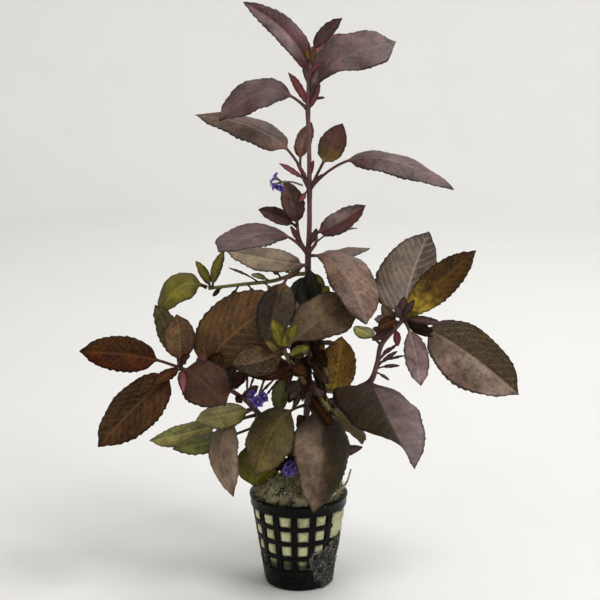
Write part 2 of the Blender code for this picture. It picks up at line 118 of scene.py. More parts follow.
# Studio: the floor in mm, the camera and the lamps in metres. A lamp has its place, what it points at,
# its size and its power in watts
FLOOR_RADIUS = 1250
FLOOR_CURVE = 450
FLOOR_SIDES = 48
WALL_HEIGHT = 1400
CAMERA_PLACE = (0.00075, -0.6847, 0.2940)
CAMERA_AIM = (0.00075, 0, 0.1485)
LENS = 83.94
SENSOR_WIDTH = 36
LAMPS = (
    ("key", (0.62, -0.5, 1.2), (0, 0, 0.15), 0.5, 12),
    ("fill", (-0.9, -0.9, 0.6), (0, 0, 0.15), 0.8, 2.0),
    ("back", (0.3, 0.5, 1.4), (0.3, 1.2, 0.3), 0.8, 12),
)

# Stems: the radii at root and tip, and the points of the axis between them
STEM_SIDES = 14
Stem = namedtuple("Stem", "root_radius tip_radius points")
STEMS = {
    "stem_main": Stem(1.9, 1.0, (
        (0.5, 0, 46), (1, 0, 60), (3, 0, 78), (4.6, 0, 97), (5.2, 0, 120), (4.6, 0, 145), (4.8, 0, 171),
        (5.4, 0, 186), (5.4, 0, 204), (5.2, 0, 224), (4.6, 0, 243), (5.2, 0, 259), (6.4, 0, 273))),
    "stem_right": Stem(1.8, 1.0, (
        (10, 3, 46), (11, 2, 62), (13, -2, 80), (20, -6, 96), (29, -9, 105), (36, -12, 110), (39, -12, 119),
        (41, -11, 128), (47, -10, 135), (52, -10, 141))),
    "stem_left": Stem(1.7, 1.1, (
        (-6, 2, 46), (-9, 2, 62), (-15, 1, 80), (-24, -4, 95), (-36, -14, 107), (-48, -22, 115),
        (-58, -25, 120))),
    "stem_green": Stem(1.2, 0.9, (
        (4.7, 0, 162), (-3, 4, 160.5), (-13, 6, 157), (-28, 5, 155.5), (-45, 0, 154.5))),
    "stem_front": Stem(1.5, 1.1, (
        (5, 0, 103), (3, -9, 108), (-1, -22, 118), (-5, -34, 127), (-7, -40, 133.5))),
    "stem_axil_left": Stem(1.0, 0.8, (
        (4.8, 0, 172), (1, 2, 178), (-0.7, 3, 185))),
    "stem_axil_right": Stem(1.0, 0.8, (
        (4.8, 0, 172), (8.6, -2.5, 178), (8.6, -3, 183))),
}

# Nodes: where leaves grow, as a stem and the node's place on its axis
NODES = {
    "crown": ("stem_main", (5.2, 0, 259)), "tip": ("stem_main", (6.4, 0, 271)),
    "upper": ("stem_main", (4.6, 0, 243)), "third": ("stem_main", (5.4, 0, 204)),
    "first": ("stem_main", (4.8, 0, 171)), "under": ("stem_main", (4.7, 0, 166)),
    "mid": ("stem_main", (4.7, 0, 141)), "back": ("stem_main", (5.1, 0, 113)),
    "back_low": ("stem_main", (4.9, 0, 105)), "low": ("stem_main", (4.4, 0, 94)),
    "axil_left": ("stem_axil_left", (-0.7, 3, 185)), "axil_right": ("stem_axil_right", (8.6, -3, 183)),
    "right_top": ("stem_right", (52, -10, 141)), "right_mid": ("stem_right", (41, -11, 128)),
    "right_fork": ("stem_right", (36, -12, 110)), "right_low": ("stem_right", (17, -4, 90)),
    "left_top": ("stem_left", (-58, -25, 120)), "left_mid": ("stem_left", (-48, -22, 115)),
    "left_low": ("stem_left", (-22.8, -3.3, 93)), "left_hang": ("stem_left", (-20.6, -2.1, 89.4)),
    "left_lower": ("stem_left", (-18, -0.7, 85)), "left_foot": ("stem_left", (-12, 1.5, 71)),
    "green_top": ("stem_green", (-45, 0, 154.5)), "front_top": ("stem_front", (-7, -40, 133.5)),
}

# Young leaves and buds in the solid of the stem that they grow on: their look, and each one's root, tip
# and width
SPROUTS = {
    "stem_main": ("wine", (
        ((4.6, 0, 244), (-5, -6, 261.5), 4.5), ((4.8, 0, 247.5), (13, -1, 249), 1.8),
        ((5.4, 0, 206), (-1, -2, 217), 2.2), ((5.4, 0, 206), (-9.5, -4, 217.5), 3),
        ((5.4, -0.5, 206), (13.5, -8, 213), 1.8), ((5.4, 0, 207), (7.5, -2, 219), 2.4),
    )),
    "stem_right": ("plum", (
        ((50.4, -10, 139), (52, -14, 153.5), 5), ((51.4, -10, 139.6), (57, -15, 152), 4),
        ((51.3, -10, 140.4), (70.5, -22, 141), 4.5), ((49, -10, 137.5), (37, -15, 142), 6),
        ((38.5, -12, 116), (49, -15, 126), 2.4), ((38.5, -12, 116), (50, -17, 119), 2.2),
        ((38, -12, 114.5), (45, -17, 111.5), 1.8),
    )),
    "stem_left": ("umber", (
        ((-57, -25, 119.5), (-70, -39, 115), 6),
    )),
    "stem_green": ("lime", (
        ((-44, 0, 154.5), (-51, -3, 169), 5), ((-43, 0, 154.5), (-37, 2, 173.5), 5.5),
        ((-20, 5.5, 156.2), (-35.5, 8, 163.5), 1.4),
    )),
    "stem_front": ("bright", (
        ((-7.2, -38.2, 131.6), (-12.5, -46, 149), 7), ((-7, -39.4, 132.6), (0, -50, 148.5), 6),
        ((-6.8, -37.6, 131), (-6, -49, 143), 4),
    )),
}

# Leaflets, bracts and twigs too small for the solids, by stem: root, tip, width and look
LEAFLETS = {
    "stem_main": (
        ((4.9, 0, 108), (11.7, -14, 101.6), 7, "plum"), ((4.6, 0, 100), (16.2, -16, 87.7), 11, "umber"),
        ((4.9, 0, 117), (0.7, -10, 108.8), 6, "wine"), ((5, 0, 112), (13, -6, 121), 7, "umber"),
        ((5.2, 0, 124), (-5, -6, 131), 6, "smoke"), ((5, 0, 132), (13, -6, 124), 6, "amber"),
        # Painted shade: the three leaflets with the shadow look stand dark in the gap between leaves where
        # shade falls
        ((4.7, 0, 151), (-8, 3, 146), 8, "smoke"), ((4.7, 0, 166), (9.5, -12, 148.5), 8, "shadow"),
        ((4.7, 0, 164), (1.5, -13, 147.5), 8.5, "shadow"), ((4.7, 0, 163), (-5.5, -7, 150), 8, "shadow"),
        ((4.7, 0, 158), (15, -5, 150), 7, "leek"), ((4.7, 0, 161), (13, -8, 157), 4, "bright"),
        ((4.7, 0, 168), (-6, -5, 160), 3, "taupe"), ((4.6, 0, 146), (-3, -7, 136), 8, "soil"),
        ((4.6, 0, 143), (14, -8, 133), 8, "soil"), ((4.6, 0, 138), (-2, -9, 128), 7, "umber"),
        ((5, 0, 136), (10, -10, 125), 6, "soil"), ((5.1, 0, 131), (0, -10, 120), 6, "dark_wine"),
        ((5.2, 0, 127), (14, -10, 116), 6, "soil"), ((5.2, 0, 122), (-4, -10, 113), 6, "soil"),
        ((5.2, 0, 118), (15, -12, 108), 6, "chestnut"), ((5.1, 0, 114), (3, -11, 103), 6, "dark_wine"),
        ((5, 0, 110), (-5, -11, 98), 6, "soil"), ((4.9, 0, 106), (18, -12, 96), 6, "soil"),
        ((4.8, 0, 124), (20, -9, 128), 3, "ember"), ((5.2, 0, 258), (-1.5, -3, 268), 3, "wine"),
        ((5.2, 0, 258), (12, -4, 266), 3.4, "wine"), ((5.8, 0, 265), (3.5, -4, 272.5), 2.6, "amber"),
        ((5.8, 0, 265), (8, -4, 273), 2.4, "amber"), ((5, 0, 252), (2, -3, 264), 4, "mauve"),
        ((5, 0, 250), (9.5, -3, 263), 4, "mauve"), ((4.8, 0, 246), (8, -3, 256), 3.4, "plum"),
        ((4.6, 0, 242), (10.5, -3, 256), 3.2, "wine"), ((4.8, 0, 172), (9, -7, 186), 3, "plum"),
        ((4.8, 0, 172), (-4, -5, 187), 3, "wine"), ((5.4, 0, 205), (0, -3, 198), 3, "wine"),
        ((2.2, 0, 72), (-7, -8, 70), 7, "soil"), ((3.1, 0, 79), (-0.5, -5, 90), 7, "soil"),
        ((2.8, 0, 77), (-5, -9, 77), 6, "umber"), ((1.6, 0, 66), (-12, -10, 63), 6, "soil"),
        ((1.4, 0, 64), (-2, -10, 64), 4, "moss"), ((4.9, 0, 106), (17, -14, 92), 4.5, "fern"),
        ((4.9, 0, 106), (21.5, -13, 89.5), 4, "fern"), ((4.8, 0, 104), (16, -15, 87), 4, "leek"),
        ((4.6, 0, 143), (9.5, -12, 124.5), 6, "soil"), ((4.6, 0, 139), (-4, -12, 117.5), 6, "soil"),
        ((5.1, 0, 131), (11.5, -10, 114), 5, "umber"), ((5.2, 0, 124), (-6, -10, 105.5), 5, "dark_wine"),
        ((5.2, 0, 120), (2, -14, 99.5), 6, "soil"), ((5.2, 0, 126), (15.5, -10, 107.5), 4, "moss"),
        ((5, 0, 112), (14, -12, 98.5), 4, "soil"), ((5.1, 0, 115), (-3.5, -9, 93), 4, "taupe"),
    ),
    "stem_right": (
        ((50.4, -10, 139), (39, -17, 137), 7, "umber"), ((49, -10, 137.5), (36.2, -14, 131), 5, "plum"),
        ((48, -10, 136.2), (48.8, -18, 129), 4, "wine"), ((51.4, -10, 140), (47, -17, 149), 5, "plum"),
        ((51.4, -10, 140), (59, -19, 145.5), 4, "lime"), ((51.4, -10, 140), (56, -19, 147), 3, "lime"),
        ((49.5, -10, 138), (41, -12, 149), 6, "taupe"), ((47.5, -10, 135.6), (38.5, -12, 143), 6, "plum"),
        ((46, -10.2, 134), (36.5, -12, 137), 5, "chestnut"), ((51.8, -10, 140.6), (66, -20, 137), 5, "soil"),
        ((51.4, -10, 140), (66, -19, 134), 4, "umber"), ((39.5, -12, 120), (46, -15, 128), 2.2, "wine"),
        ((39.5, -12, 120), (50, -16, 131), 1.6, "wine"), ((39, -12, 119), (52.5, -16, 124), 1.6, "plum"),
        ((11.5, 1, 66), (33.3, 5, 70), 6, "plum"), ((13, -2, 80), (18, -6, 85.5), 3.5, "umber"),
        ((22, -7, 97.5), (24, -14, 108), 4, "amber"), ((30, -9.4, 106), (20.5, -14, 100.5), 5, "umber"),
        ((24, -7.4, 100), (24.5, -12, 94), 4, "soil"), ((21, -6.4, 97), (14.5, -12, 100), 5, "dark_wine"),
    ),
    "stem_left": (
        ((-26, -5, 97), (-25.3, -8, 112.4), 1.5, "wine"), ((-25, -4.5, 96), (-20.6, -12, 115), 1.4, "wine"),
        ((-24, -4, 95), (-16.1, -14, 114.5), 1.5, "plum"),
        ((-23, -3.5, 94), (-11.2, -10, 110.8), 1.5, "wine"),
        ((-22, -3, 92.5), (-6.7, -8, 113.4), 1.4, "plum"), ((-38, -15, 108.5), (-26, -24, 117), 7, "umber"),
        ((-50, -22.5, 117), (-44, -31, 127), 7, "wine"), ((-57, -25, 119.5), (-55, -38, 111), 5, "wine"),
        ((-57, -25, 119.5), (-52, -33, 128), 5, "umber"),
        ((-40, -17, 109.5), (-30.5, -28, 121.5), 8, "soil"), ((-34, -12, 105), (-23.5, -26, 117), 7, "soil"),
        ((-44, -19.5, 112), (-37, -30, 129), 8, "umber"),
        ((-30, -9, 101), (-19.5, -20, 109.5), 5, "dark_wine"), ((-37, -15, 108), (-39, -22, 117), 6, "soil"),
        ((-28, -7, 99), (-31, -16, 100), 5, "umber"), ((-33, -11, 104), (-35.5, -20, 109.5), 4, "taupe"),
    ),
    "stem_green": (
        ((-4, 4.2, 160.3), (-7, 1, 164), 2.6, "olive"), ((-9, 5.2, 158.5), (-13, 1, 163), 2.6, "moss"),
        ((-15, 6, 157), (-24, 2, 161), 3.2, "fern"), ((-18, 6, 156.6), (-12, 2, 150.5), 3, "olive"),
        ((-30, 4.8, 155.4), (-34.4, 2, 149), 2.6, "smoke"), ((-37, 3, 155), (-43, 1, 150), 2.6, "smoke"),
        ((-26, 5.2, 155.6), (-22, 1, 150), 2.4, "olive"),
    ),
    "stem_front": (
        ((-1, -22, 118), (-17.5, -38, 118.4), 9, "umber"), ((1, -15, 112), (-6.6, -28, 108.7), 6, "smoke"),
        ((-3, -28, 122), (-24.4, -44, 121), 9, "umber"), ((-4, -31, 124.5), (3.6, -44, 122), 7, "umber"),
        ((-5, -34, 127), (-16, -45, 138), 7, "moss"), ((-6, -37, 130), (5, -46, 136), 6, "bright"),
        ((2, -12, 110), (-4, -18, 102), 5, "plum"), ((-5, -34, 127), (2, -46, 131), 7, "soil"),
        ((-1, -22, 118), (-13.5, -34, 120.5), 6, "umber"), ((-4, -30, 124), (-24, -36, 134.5), 6, "taupe"),
        ((0, -19, 115.5), (0.5, -32, 120), 5, "chestnut"),
    ),
}

# Flower heads: where the stalk leaves, where it ends, and where its florets open, from there
Flower = namedtuple("Flower", "name root head florets")
FLOWERS = (
    Flower("flower_upper", (2, -3, 206.5), (-8, -5.5, 208.5),
           ((-4.4, -1, 3), (-6, -1, -1.8), (-1.5, -2.5, -3))),
    Flower("flower_middle", (-25, -8.5, 98), (-20.5, -18, 101.5),
           ((4, -3.5, 3.4), (0.5, -4, 0.6), (-3.5, -3, 4.4))),
    Flower("flower_low", (-1.5, -3.5, 60), (-4, -9.5, 63),
           ((-2, -3.5, -0.5), (2.2, -3, 1.6), (0.4, -3, 3.4))),
)

# Leaves: the node, the look, the tip's place, the way the upper side faces, the blade's width, how far
# the midrib arches up and bows left of the straight line, the degrees that each half rises above the
# flat (a ridge is negative), the petiole's share of the length, where along it the left and the right
# half are widest, how far the arch's top lies toward the stem, how far each half slants toward the tip
# as it leaves the midrib, how wide each half is for its width, and for a half that is tucked in toward
# the tip its number (left is 0) and the share of the length where it starts to narrow
Leaf = namedtuple("Leaf", "name node look tip face width arch bow fold stalk widest skew slant halves tuck",
                  defaults=((WIDEST_AT, WIDEST_AT), ARCH_SKEW, (0, 0), (1, 1), None))
LEAVES = (
    Leaf("leaf_crown_left", "crown", "crown", (-27, 8, 294.5), (0.3, -1, 0.3), 13.5, 6, 0, 16, 0.07,
         (0.4, 0.4)),
    Leaf("leaf_crown_back", "crown", "wine", (27, 17, 278), (-0.3, -1, 0.6), 11.5, 3, 7, 10, 0.3),
    Leaf("leaf_crown_right", "tip", "plum", (21, -8, 287), (-0.2, -1, 0.3), 7.5, 1, 0, 20, 0.08),
    Leaf("leaf_upper_right", "upper", "mauve", (48, 12, 275.5), (-0.4, -1, 0.6), 25, 10, 0, 8, 0.13,
         (0.5, 0.68)),
    Leaf("leaf_upper_left", "upper", "plum", (-38, -16.5, 239), (-0.3, -1, 0.9), 20, 11, 0, 10, 0.16,
         (0.5, 0.5), 0.3, (0.1, 0.1)),
    Leaf("leaf_third_left", "third", "dusk", (-52.5, 22, 239), (0.4, -0.8, 0.8), 18.5, 12.5, 0, -8, 0.27,
         (0.36, 0.36)),
    Leaf("leaf_third_right", "third", "mauve", (75, -15, 206), (0.1, -0.55, 0.85), 17.5, 16, 0, -12, 0.26,
         (0.42, 0.42)),
    Leaf("leaf_axil_red", "third", "ember", (6.5, 15, 236), (-0.6, -1, 0.2), 10, 0, 5, 10, 0.46),
    Leaf("leaf_axil_green", "third", "bud_green", (21.5, -6, 237), (-0.1, -1, 0.1), 13, 0, 0, 0, 0.42,
         (0.42, 0.42)),
    Leaf("leaf_second_back", "axil_left", "cinder", (-7, -2, 209), (0.2, -1, 0.2), 12, 0, 2, 15, 0.1),
    Leaf("leaf_second_left", "axil_left", "dark_wine", (-20, 1, 194), (0.2, -1, 0.7), 9, 1, 0, 12, 0.12),
    Leaf("leaf_second_right", "axil_right", "half_shaded", (33, -8, 197.5), (-0.3, -1, 0.6),
         12.5, -1, 0, 12, 0.04, (0.42, 0.42)),
    Leaf("leaf_second_hook", "first", "dusk", (30, 9, 183.5), (-0.4, -0.3, 1), 5, 5, 0, 10, 0.45),
    Leaf("leaf_first_left", "first", "mauve", (-38.5, -26, 177.5), (-0.2, -0.8, 0.8), 21, 10.5, 0, -8, 0.22,
         (0.58, 0.58), 0.3, (-0.5, -0.5), (0.72, 1)),
    Leaf("leaf_first_right", "first", "rose", (32, -42, 145.5), (0.4, -0.9, 0.6), 33, 9, 2, -8, 0.06,
         (0.46, 0.6), 0.3, (0, 0), (1.05, 0.56)),
    Leaf("leaf_first_back", "first", "dusk", (37, 26, 170.4), (0.1, -0.15, 1), 12, -1, 0, 10, 0.2),
    Leaf("leaf_under_left", "under", "sand", (-37, 16, 171), (0.1, -0.7, 0.8), 16.5, -0.5, 0, 6, 0.06),
    Leaf("leaf_under_front", "under", "smoke", (-15, -40, 134), (-0.3, -1, 0.3), 19, 12, 0, -8, 0.42),
    Leaf("leaf_under_right", "mid", "bright", (15, -7, 157), (-0.3, -1, 0.5), 11.5, 0, 0, 8, 0.2),
    Leaf("leaf_right_up", "right_top", "feather", (66, 14, 181), (0.4, -1, 0.5), 33, 0, 2.5, -14, 0.03,
         (0.37, 0.42)),
    Leaf("leaf_right_gold", "right_top", "gold", (86, -18, 177), (0.3, -1, 0.5), 17.5, 1, 0, 14, 0.06),
    Leaf("leaf_right_out", "right_top", "olive_mauve", (108, -25, 106.5), (0.4, -1, 0.5),
         33, 3.5, 0, -6, 0.17),
    Leaf("leaf_right_hang", "right_top", "lilac", (60, -24, 110.5), (0, -1, 0.1), 12, 3, 0, 8, 0.18,
         (0.5, 0.5)),
    Leaf("leaf_right_fork", "right_fork", "fork", (54, -66, 82), (0.2, -0.9, 0.7), 37, 3, -2, -6, 0.02,
         (0.44, 0.25), 0.3, (-0.15, 0.5), (0.98, 1.08), (1, 0.52)),
    Leaf("leaf_left_out", "left_top", "umber", (-105.5, -32, 130), (-0.1, -1, 0.5), 18, 2.5, 0, 6, 0.22),
    Leaf("leaf_left_down", "left_top", "ash", (-96, -45, 86), (-0.3, -1, 0.3), 24, 1.5, 0, -6, 0.1),
    Leaf("leaf_left_front", "left_top", "chestnut", (-34.5, -48, 107.5), (0.1, -1, 0.5), 24, 3, 0, 0, 0.1),
    Leaf("leaf_left_narrow", "left_top", "sedge", (-71.5, -4, 147), (-0.3, -1, 0.1), 13, 0, -2, 10, 0.16),
    Leaf("leaf_left_upright", "left_top", "russet", (-58.5, -28, 147.5), (0.2, -1, 0.1),
         15.5, 0, 1, 0, 0.14),
    Leaf("leaf_left_broad", "left_mid", "bronze", (-7, -28, 155.5), (0.3, -1, 0.6), 35, 4, 0, -4, 0.06),
    Leaf("leaf_green_curl", "green_top", "lime", (-68.5, -6, 142.5), (-0.6, -1, 0.7), 18, 8, 0, 0, 0.08,
         (0.46, 0.46), 0.3, (-0.2, -0.2)),
    Leaf("leaf_front_left", "front_top", "shade", (-31.5, -50, 128), (-0.1, -0.65, 0.75),
         20, -2.5, 0, 10, 0.1),
    Leaf("leaf_front_right", "front_top", "taupe", (26, -25, 156), (-0.4, -1, 0.7), 27, 0, 0, 8, 0.1,
         (0.5, 0.62)),
    Leaf("leaf_right_pale", "right_mid", "fern", (28, 4, 134), (0, -0.6, 0.9), 9, 1, 0, 0, 0.3),
    Leaf("leaf_low_orange", "right_low", "amber", (22, 6, 128.5), (0.3, -1, 0.2), 20, 0, 0, 0, 0.26),
    Leaf("leaf_low_small", "left_foot", "leek", (-8.5, 4, 108), (-0.1, -1, 0.2), 9, 0, 0, 0, 0.5),
    Leaf("leaf_low_left", "low", "olive", (-20.5, -32, 67), (-0.4, -1, 0.5), 29, 7, -3, -6, 0.18,
         (0.5, 0.42), 0.3, (0.1, 0), (0.9, 0.92)),
    Leaf("leaf_low_front", "low", "front", (7, -43.5, 52), (0.2, -1, 0.3), 34, 8, 5, -16, 0.1,
         (0.34, 0.36), 0.3, (0, 0), (1, 0.8)),
    Leaf("leaf_low_hang", "left_hang", "hang", (-32, -26, 54), (-0.7, -1, 0.2), 19, 11, -10, -5, 0.18),
    Leaf("leaf_green_long", "left_low", "fern", (-78, 14, 70.5), (-0.1, -0.7, 0.8), 14, -2.5, 0, 0, 0.36),
    Leaf("leaf_green_low", "left_lower", "leek", (-64, -8, 73), (-0.1, -0.8, 0.8), 12, -2, 0, 0, 0.3),
    Leaf("leaf_green_short", "left_low", "pale_fern", (-51.5, -14, 90), (-0.1, -0.8, 0.8), 15, 0, 0, 0, 0.1),
    Leaf("leaf_low_green", "left_lower", "bright", (-22, -6, 52), (0.2, -1, 0.3), 23, 0, 0, 0, 0.24,
         (0.56, 0.56)),
    Leaf("leaf_low_back", "low", "olive", (34, 24, 65), (0.3, 0.4, 1), 20, 9, 0, -6, 0.2),
    Leaf("leaf_back_left", "back", "dusk", (-38, 46, 108), (-0.2, 0.6, 1), 30, 12, 0, -6, 0.2),
    Leaf("leaf_back_right", "back_low", "bronze", (50, 45, 84), (0.2, 0.6, 1), 28, 3, 0, -6, 0.2),
    Leaf("leaf_back_middle", "mid", "dusk", (0, 62, 128), (0, 0.5, 1), 30, 12, 0, -6, 0.2),
)

# Leaf looks: the display colours of the half to the left of the midrib, the half to its right, the base,
# the veins and the under side, how much the veins and the mottling show, the roughness, the gloss, how
# far up the blade the base colour reaches, and over how many mm the two halves' colours blend. These
# colours hold painted light: the pale grey-mauve is partly painted sheen, the gold and amber partly
# painted light shining through the blade, and where a look's two halves differ much, one half is
# painted lit and the other painted shade
Look = namedtuple("Look", "left right base vein under veins mottle rough gloss spread blend",
                  defaults=(0.34, 0.8))
LOOKS = {
    # Painted sheen: the pale grey-mauve of this look is partly the shine of light on a glossy blade
    "mauve": Look((92, 70, 69), (88, 68, 65), (70, 36, 34), (120, 94, 86), (104, 82, 82),
                  0.25, 0.7, 0.45, 0.32),
    # Painted sheen: the pale grey-mauve left half is partly the shine of light on a glossy blade
    "crown": Look((102, 72, 76), (80, 44, 48), (72, 28, 32), (126, 94, 92), (100, 70, 74),
                  0.2, 0.7, 0.45, 0.36),
    "wine": Look((118, 40, 50), (106, 38, 42), (76, 24, 26), (118, 64, 64), (102, 58, 62),
                 0.3, 0.7, 0.5, 0.35),
    "ember": Look((109, 79, 71), (90, 63, 54), (104, 53, 37), (137, 107, 89), (109, 88, 74),
                  0.4, 0.8, 0.5, 0.22),
    "plum": Look((76, 50, 48), (84, 62, 60), (56, 24, 22), (106, 80, 76), (90, 72, 70),
                 0.3, 0.7, 0.5, 0.28),
    "bud_green": Look((92, 60, 52), (82, 48, 42), (120, 106, 38), (112, 78, 64), (104, 76, 64),
                      0.3, 0.7, 0.5, 0.25, 0.5),
    "dark_wine": Look((74, 44, 40), (62, 36, 34), (54, 26, 22), (102, 66, 58), (92, 64, 58),
                      0.25, 0.9, 0.55, 0.2),
    "cinder": Look((88, 62, 56), (72, 50, 46), (54, 26, 22), (102, 66, 58), (92, 64, 58),
                   0.25, 0.9, 0.55, 0.2),
    # Painted light and shade: the pale grey-mauve left half is painted lit, the dark red right half painted
    # shade
    "half_shaded": Look((112, 94, 94), (82, 42, 40), (66, 28, 26), (112, 78, 70), (100, 74, 70),
                     0.3, 0.7, 0.5, 0.3),
    "dusk": Look((104, 86, 74), (92, 74, 64), (78, 50, 38), (128, 104, 88), (112, 94, 82),
                 0.3, 0.7, 0.5, 0.28),
    "hang": Look((140, 121, 102), (127, 108, 89), (104, 84, 65), (158, 136, 117), (127, 110, 93),
                 0.2, 0.7, 0.5, 0.26),
    "russet": Look((100, 76, 50), (82, 58, 36), (76, 44, 28), (132, 104, 72), (98, 78, 54),
                   0.4, 0.9, 0.5, 0.2),
    "rose": Look((112, 88, 76), (100, 76, 60), (90, 50, 38), (136, 108, 90), (112, 92, 78),
                 0.25, 1.0, 0.45, 0.3),
    # Painted sheen: the pale lilac-grey is partly the shine of light on a glossy blade
    "lilac": Look((141, 119, 121), (131, 110, 110), (98, 65, 59), (163, 138, 136), (139, 117, 117),
                  0.2, 0.7, 0.45, 0.34),
    "sand": Look((140, 124, 102), (126, 112, 92), (95, 74, 48), (164, 146, 125), (138, 124, 106),
                 0.2, 0.5, 0.5, 0.3),
    "taupe": Look((92, 74, 50), (82, 66, 44), (60, 46, 26), (112, 94, 68), (96, 80, 56),
                  0.2, 0.8, 0.5, 0.22),
    "feather": Look((92, 78, 66), (84, 70, 60), (76, 60, 32), (164, 146, 132), (102, 88, 72),
                    1, 0.5, 0.45, 0.32),
    # Painted light: the yellow, brightest at the base, is partly light shining through the thin blade
    "gold": Look((66, 47, 12), (76, 52, 12), (196, 170, 62), (114, 76, 30), (88, 72, 36),
                 0.9, 0.7, 0.5, 0.14, 0.46),
    # Painted light and shade: the dark olive left half is painted shade, the pale grey-mauve right half
    # painted lit with sheen
    "olive_mauve": Look((52, 38, 8), (128, 112, 104), (52, 38, 18), (122, 102, 78), (90, 74, 58),
                        0.45, 0.9, 0.5, 0.1),
    # Painted light and shade: the pale grey-mauve left half is painted lit, the near-black right half painted
    # shade
    "fork": Look((104, 88, 88), (36, 25, 6), (40, 26, 8), (110, 94, 78), (84, 70, 60),
                 0.15, 0.5, 0.45, 0.14),
    # Painted light and shade: the dark left half is painted shade, the pale right half painted lit, with a
    # soft 7 mm blend
    "front": Look((58, 48, 24), (118, 100, 86), (34, 28, 14), (104, 88, 68), (98, 84, 68),
                  0.1, 0.6, 0.5, 0.16, 0.4, 7),
    "umber": Look((62, 28, 4), (52, 28, 4), (60, 20, 8), (104, 70, 38), (74, 52, 34),
                  0.5, 0.9, 0.5, 0.06),
    "ash": Look((66, 44, 24), (56, 40, 22), (60, 28, 14), (112, 82, 52), (74, 52, 34),
                0.6, 0.9, 0.5, 0.06),
    "chestnut": Look((78, 50, 34), (66, 40, 26), (54, 24, 18), (100, 66, 46), (84, 60, 44),
                     0.3, 0.9, 0.5, 0.24),
    "bronze": Look((82, 56, 28), (68, 48, 24), (68, 36, 18), (132, 98, 48), (86, 70, 42),
                   0.9, 0.9, 0.5, 0.2),
    "moss": Look((100, 84, 44), (90, 70, 34), (72, 54, 24), (132, 112, 62), (114, 98, 62),
                 0.3, 0.8, 0.5, 0.22),
    "sedge": Look((84, 78, 46), (76, 68, 40), (72, 60, 30), (118, 108, 70), (114, 98, 62),
                  0.3, 0.8, 0.5, 0.12),
    "smoke": Look((58, 48, 36), (50, 42, 34), (84, 62, 34), (76, 64, 50), (78, 66, 52),
                  0.35, 0.9, 0.5, 0.12),
    "soil": Look((42, 28, 12), (36, 26, 10), (32, 20, 8), (66, 48, 26), (60, 44, 24),
                 0.25, 1, 0.55, 0.08),
    # Painted light and shade: the dark left half is painted shade, the paler right half painted lit
    "shade": Look((42, 30, 14), (82, 66, 44), (64, 48, 26), (116, 98, 70), (60, 44, 24),
                  0.4, 1, 0.55, 0.08, 0.3, 1.6),
    # Painted shade: a near-black look for leaflets that stand in the dark gap between leaves where shade
    # falls
    "shadow": Look((36, 37, 24), (28, 30, 20), (36, 28, 18), (62, 62, 42), (46, 44, 32),
                   0.4, 0.8, 0.6, 0.15),
    # Painted light: the warm yellow is partly light shining through thin blades
    "amber": Look((102, 78, 22), (114, 80, 24), (122, 118, 42), (162, 124, 50), (128, 98, 50),
                  0.5, 1.0, 0.5, 0.18),
    "olive": Look((88, 78, 36), (82, 70, 34), (72, 60, 26), (126, 112, 62), (104, 92, 56),
                  0.35, 0.7, 0.5, 0.22),
    "fern": Look((143, 141, 78), (113, 112, 58), (108, 102, 39), (173, 171, 106), (140, 140, 84),
                 0.4, 0.7, 0.5, 0.3),
    "pale_fern": Look((160, 154, 92), (138, 132, 78), (108, 102, 39), (173, 171, 106), (140, 140, 84),
                      0.4, 0.7, 0.5, 0.3),
    "lime": Look((112, 106, 26), (100, 96, 24), (98, 92, 26), (136, 132, 60), (130, 126, 66),
                 0.25, 0.5, 0.5, 0.25),
    "bright": Look((120, 118, 28), (104, 102, 24), (136, 124, 28), (160, 150, 62), (144, 138, 66),
                   0.3, 0.7, 0.5, 0.25),
    "leek": Look((108, 110, 52), (98, 102, 46), (104, 102, 42), (144, 142, 80), (134, 130, 78),
                 0.3, 0.7, 0.5, 0.25),
}


def rgb(red, green, blue):
    """A display colour as the linear values that shaders take."""
    return tuple(v / 12.92 if v < 0.04045 else ((v + 0.055) / 1.055) ** 2.4
                 for v in (red / 255, green / 255, blue / 255))


def smooth(low, high, value):
    """A share from 0 at low to 1 at high, eased at both ends. Low may be the larger of the two."""
    share = np.clip((value - low) / (high - low), 0, 1)
    return share * share * (3 - 2 * share)


def unit(rows):
    return rows / np.linalg.norm(rows, axis=-1, keepdims=True)


def round_points(radius, angle, z):
    """Rows of points from their distance to the pot's axis, their angle and their height."""
    return np.stack((radius * np.cos(angle), radius * np.sin(angle), z), axis=-1).reshape(-1, 3)


class Shape:
    """Points in mm, faces with their material slot, and float attributes, gathered into one mesh."""

    POINT_NAMES = ("along", "across", "share", "rib", "edge", "vein", "turn_x", "turn_y")

    def __init__(self):
        self.points, self.faces, self.slots, self.under = [], [], [], []
        self.values = {name: [] for name in self.POINT_NAMES}
        self.count = 0

    def add(self, points, faces, slot=0, under=None, **values):
        points = np.asarray(points, dtype=float).reshape(-1, 3)
        self.faces += [tuple(index + self.count for index in face) for face in faces]
        self.slots += [slot] * len(faces)
        self.under += under or [0.0] * len(faces)
        for name in self.POINT_NAMES:
            self.values[name].append(np.broadcast_to(values.get(name, 0.0), len(points)))
        self.points.append(points)
        self.count += len(points)

    def build(self, name, materials):
        mesh = bpy.data.meshes.new(name)
        mesh.from_pydata((np.concatenate(self.points) * MM).tolist(), [], self.faces)
        for surface in materials:
            mesh.materials.append(surface)
        mesh.polygons.foreach_set("material_index", self.slots)
        for key, rows in self.values.items():
            data = np.concatenate(rows)
            if data.any():
                mesh.attributes.new(key, "FLOAT", "POINT").data.foreach_set("value", data)
        if any(self.under):
            mesh.attributes.new("under", "FLOAT", "FACE").data.foreach_set("value", self.under)
        mesh.shade_smooth()
        return add_object(name, mesh)


def add_object(name, data):
    made = bpy.data.objects.new(name, data)
    bpy.context.scene.collection.objects.link(made)
    return made


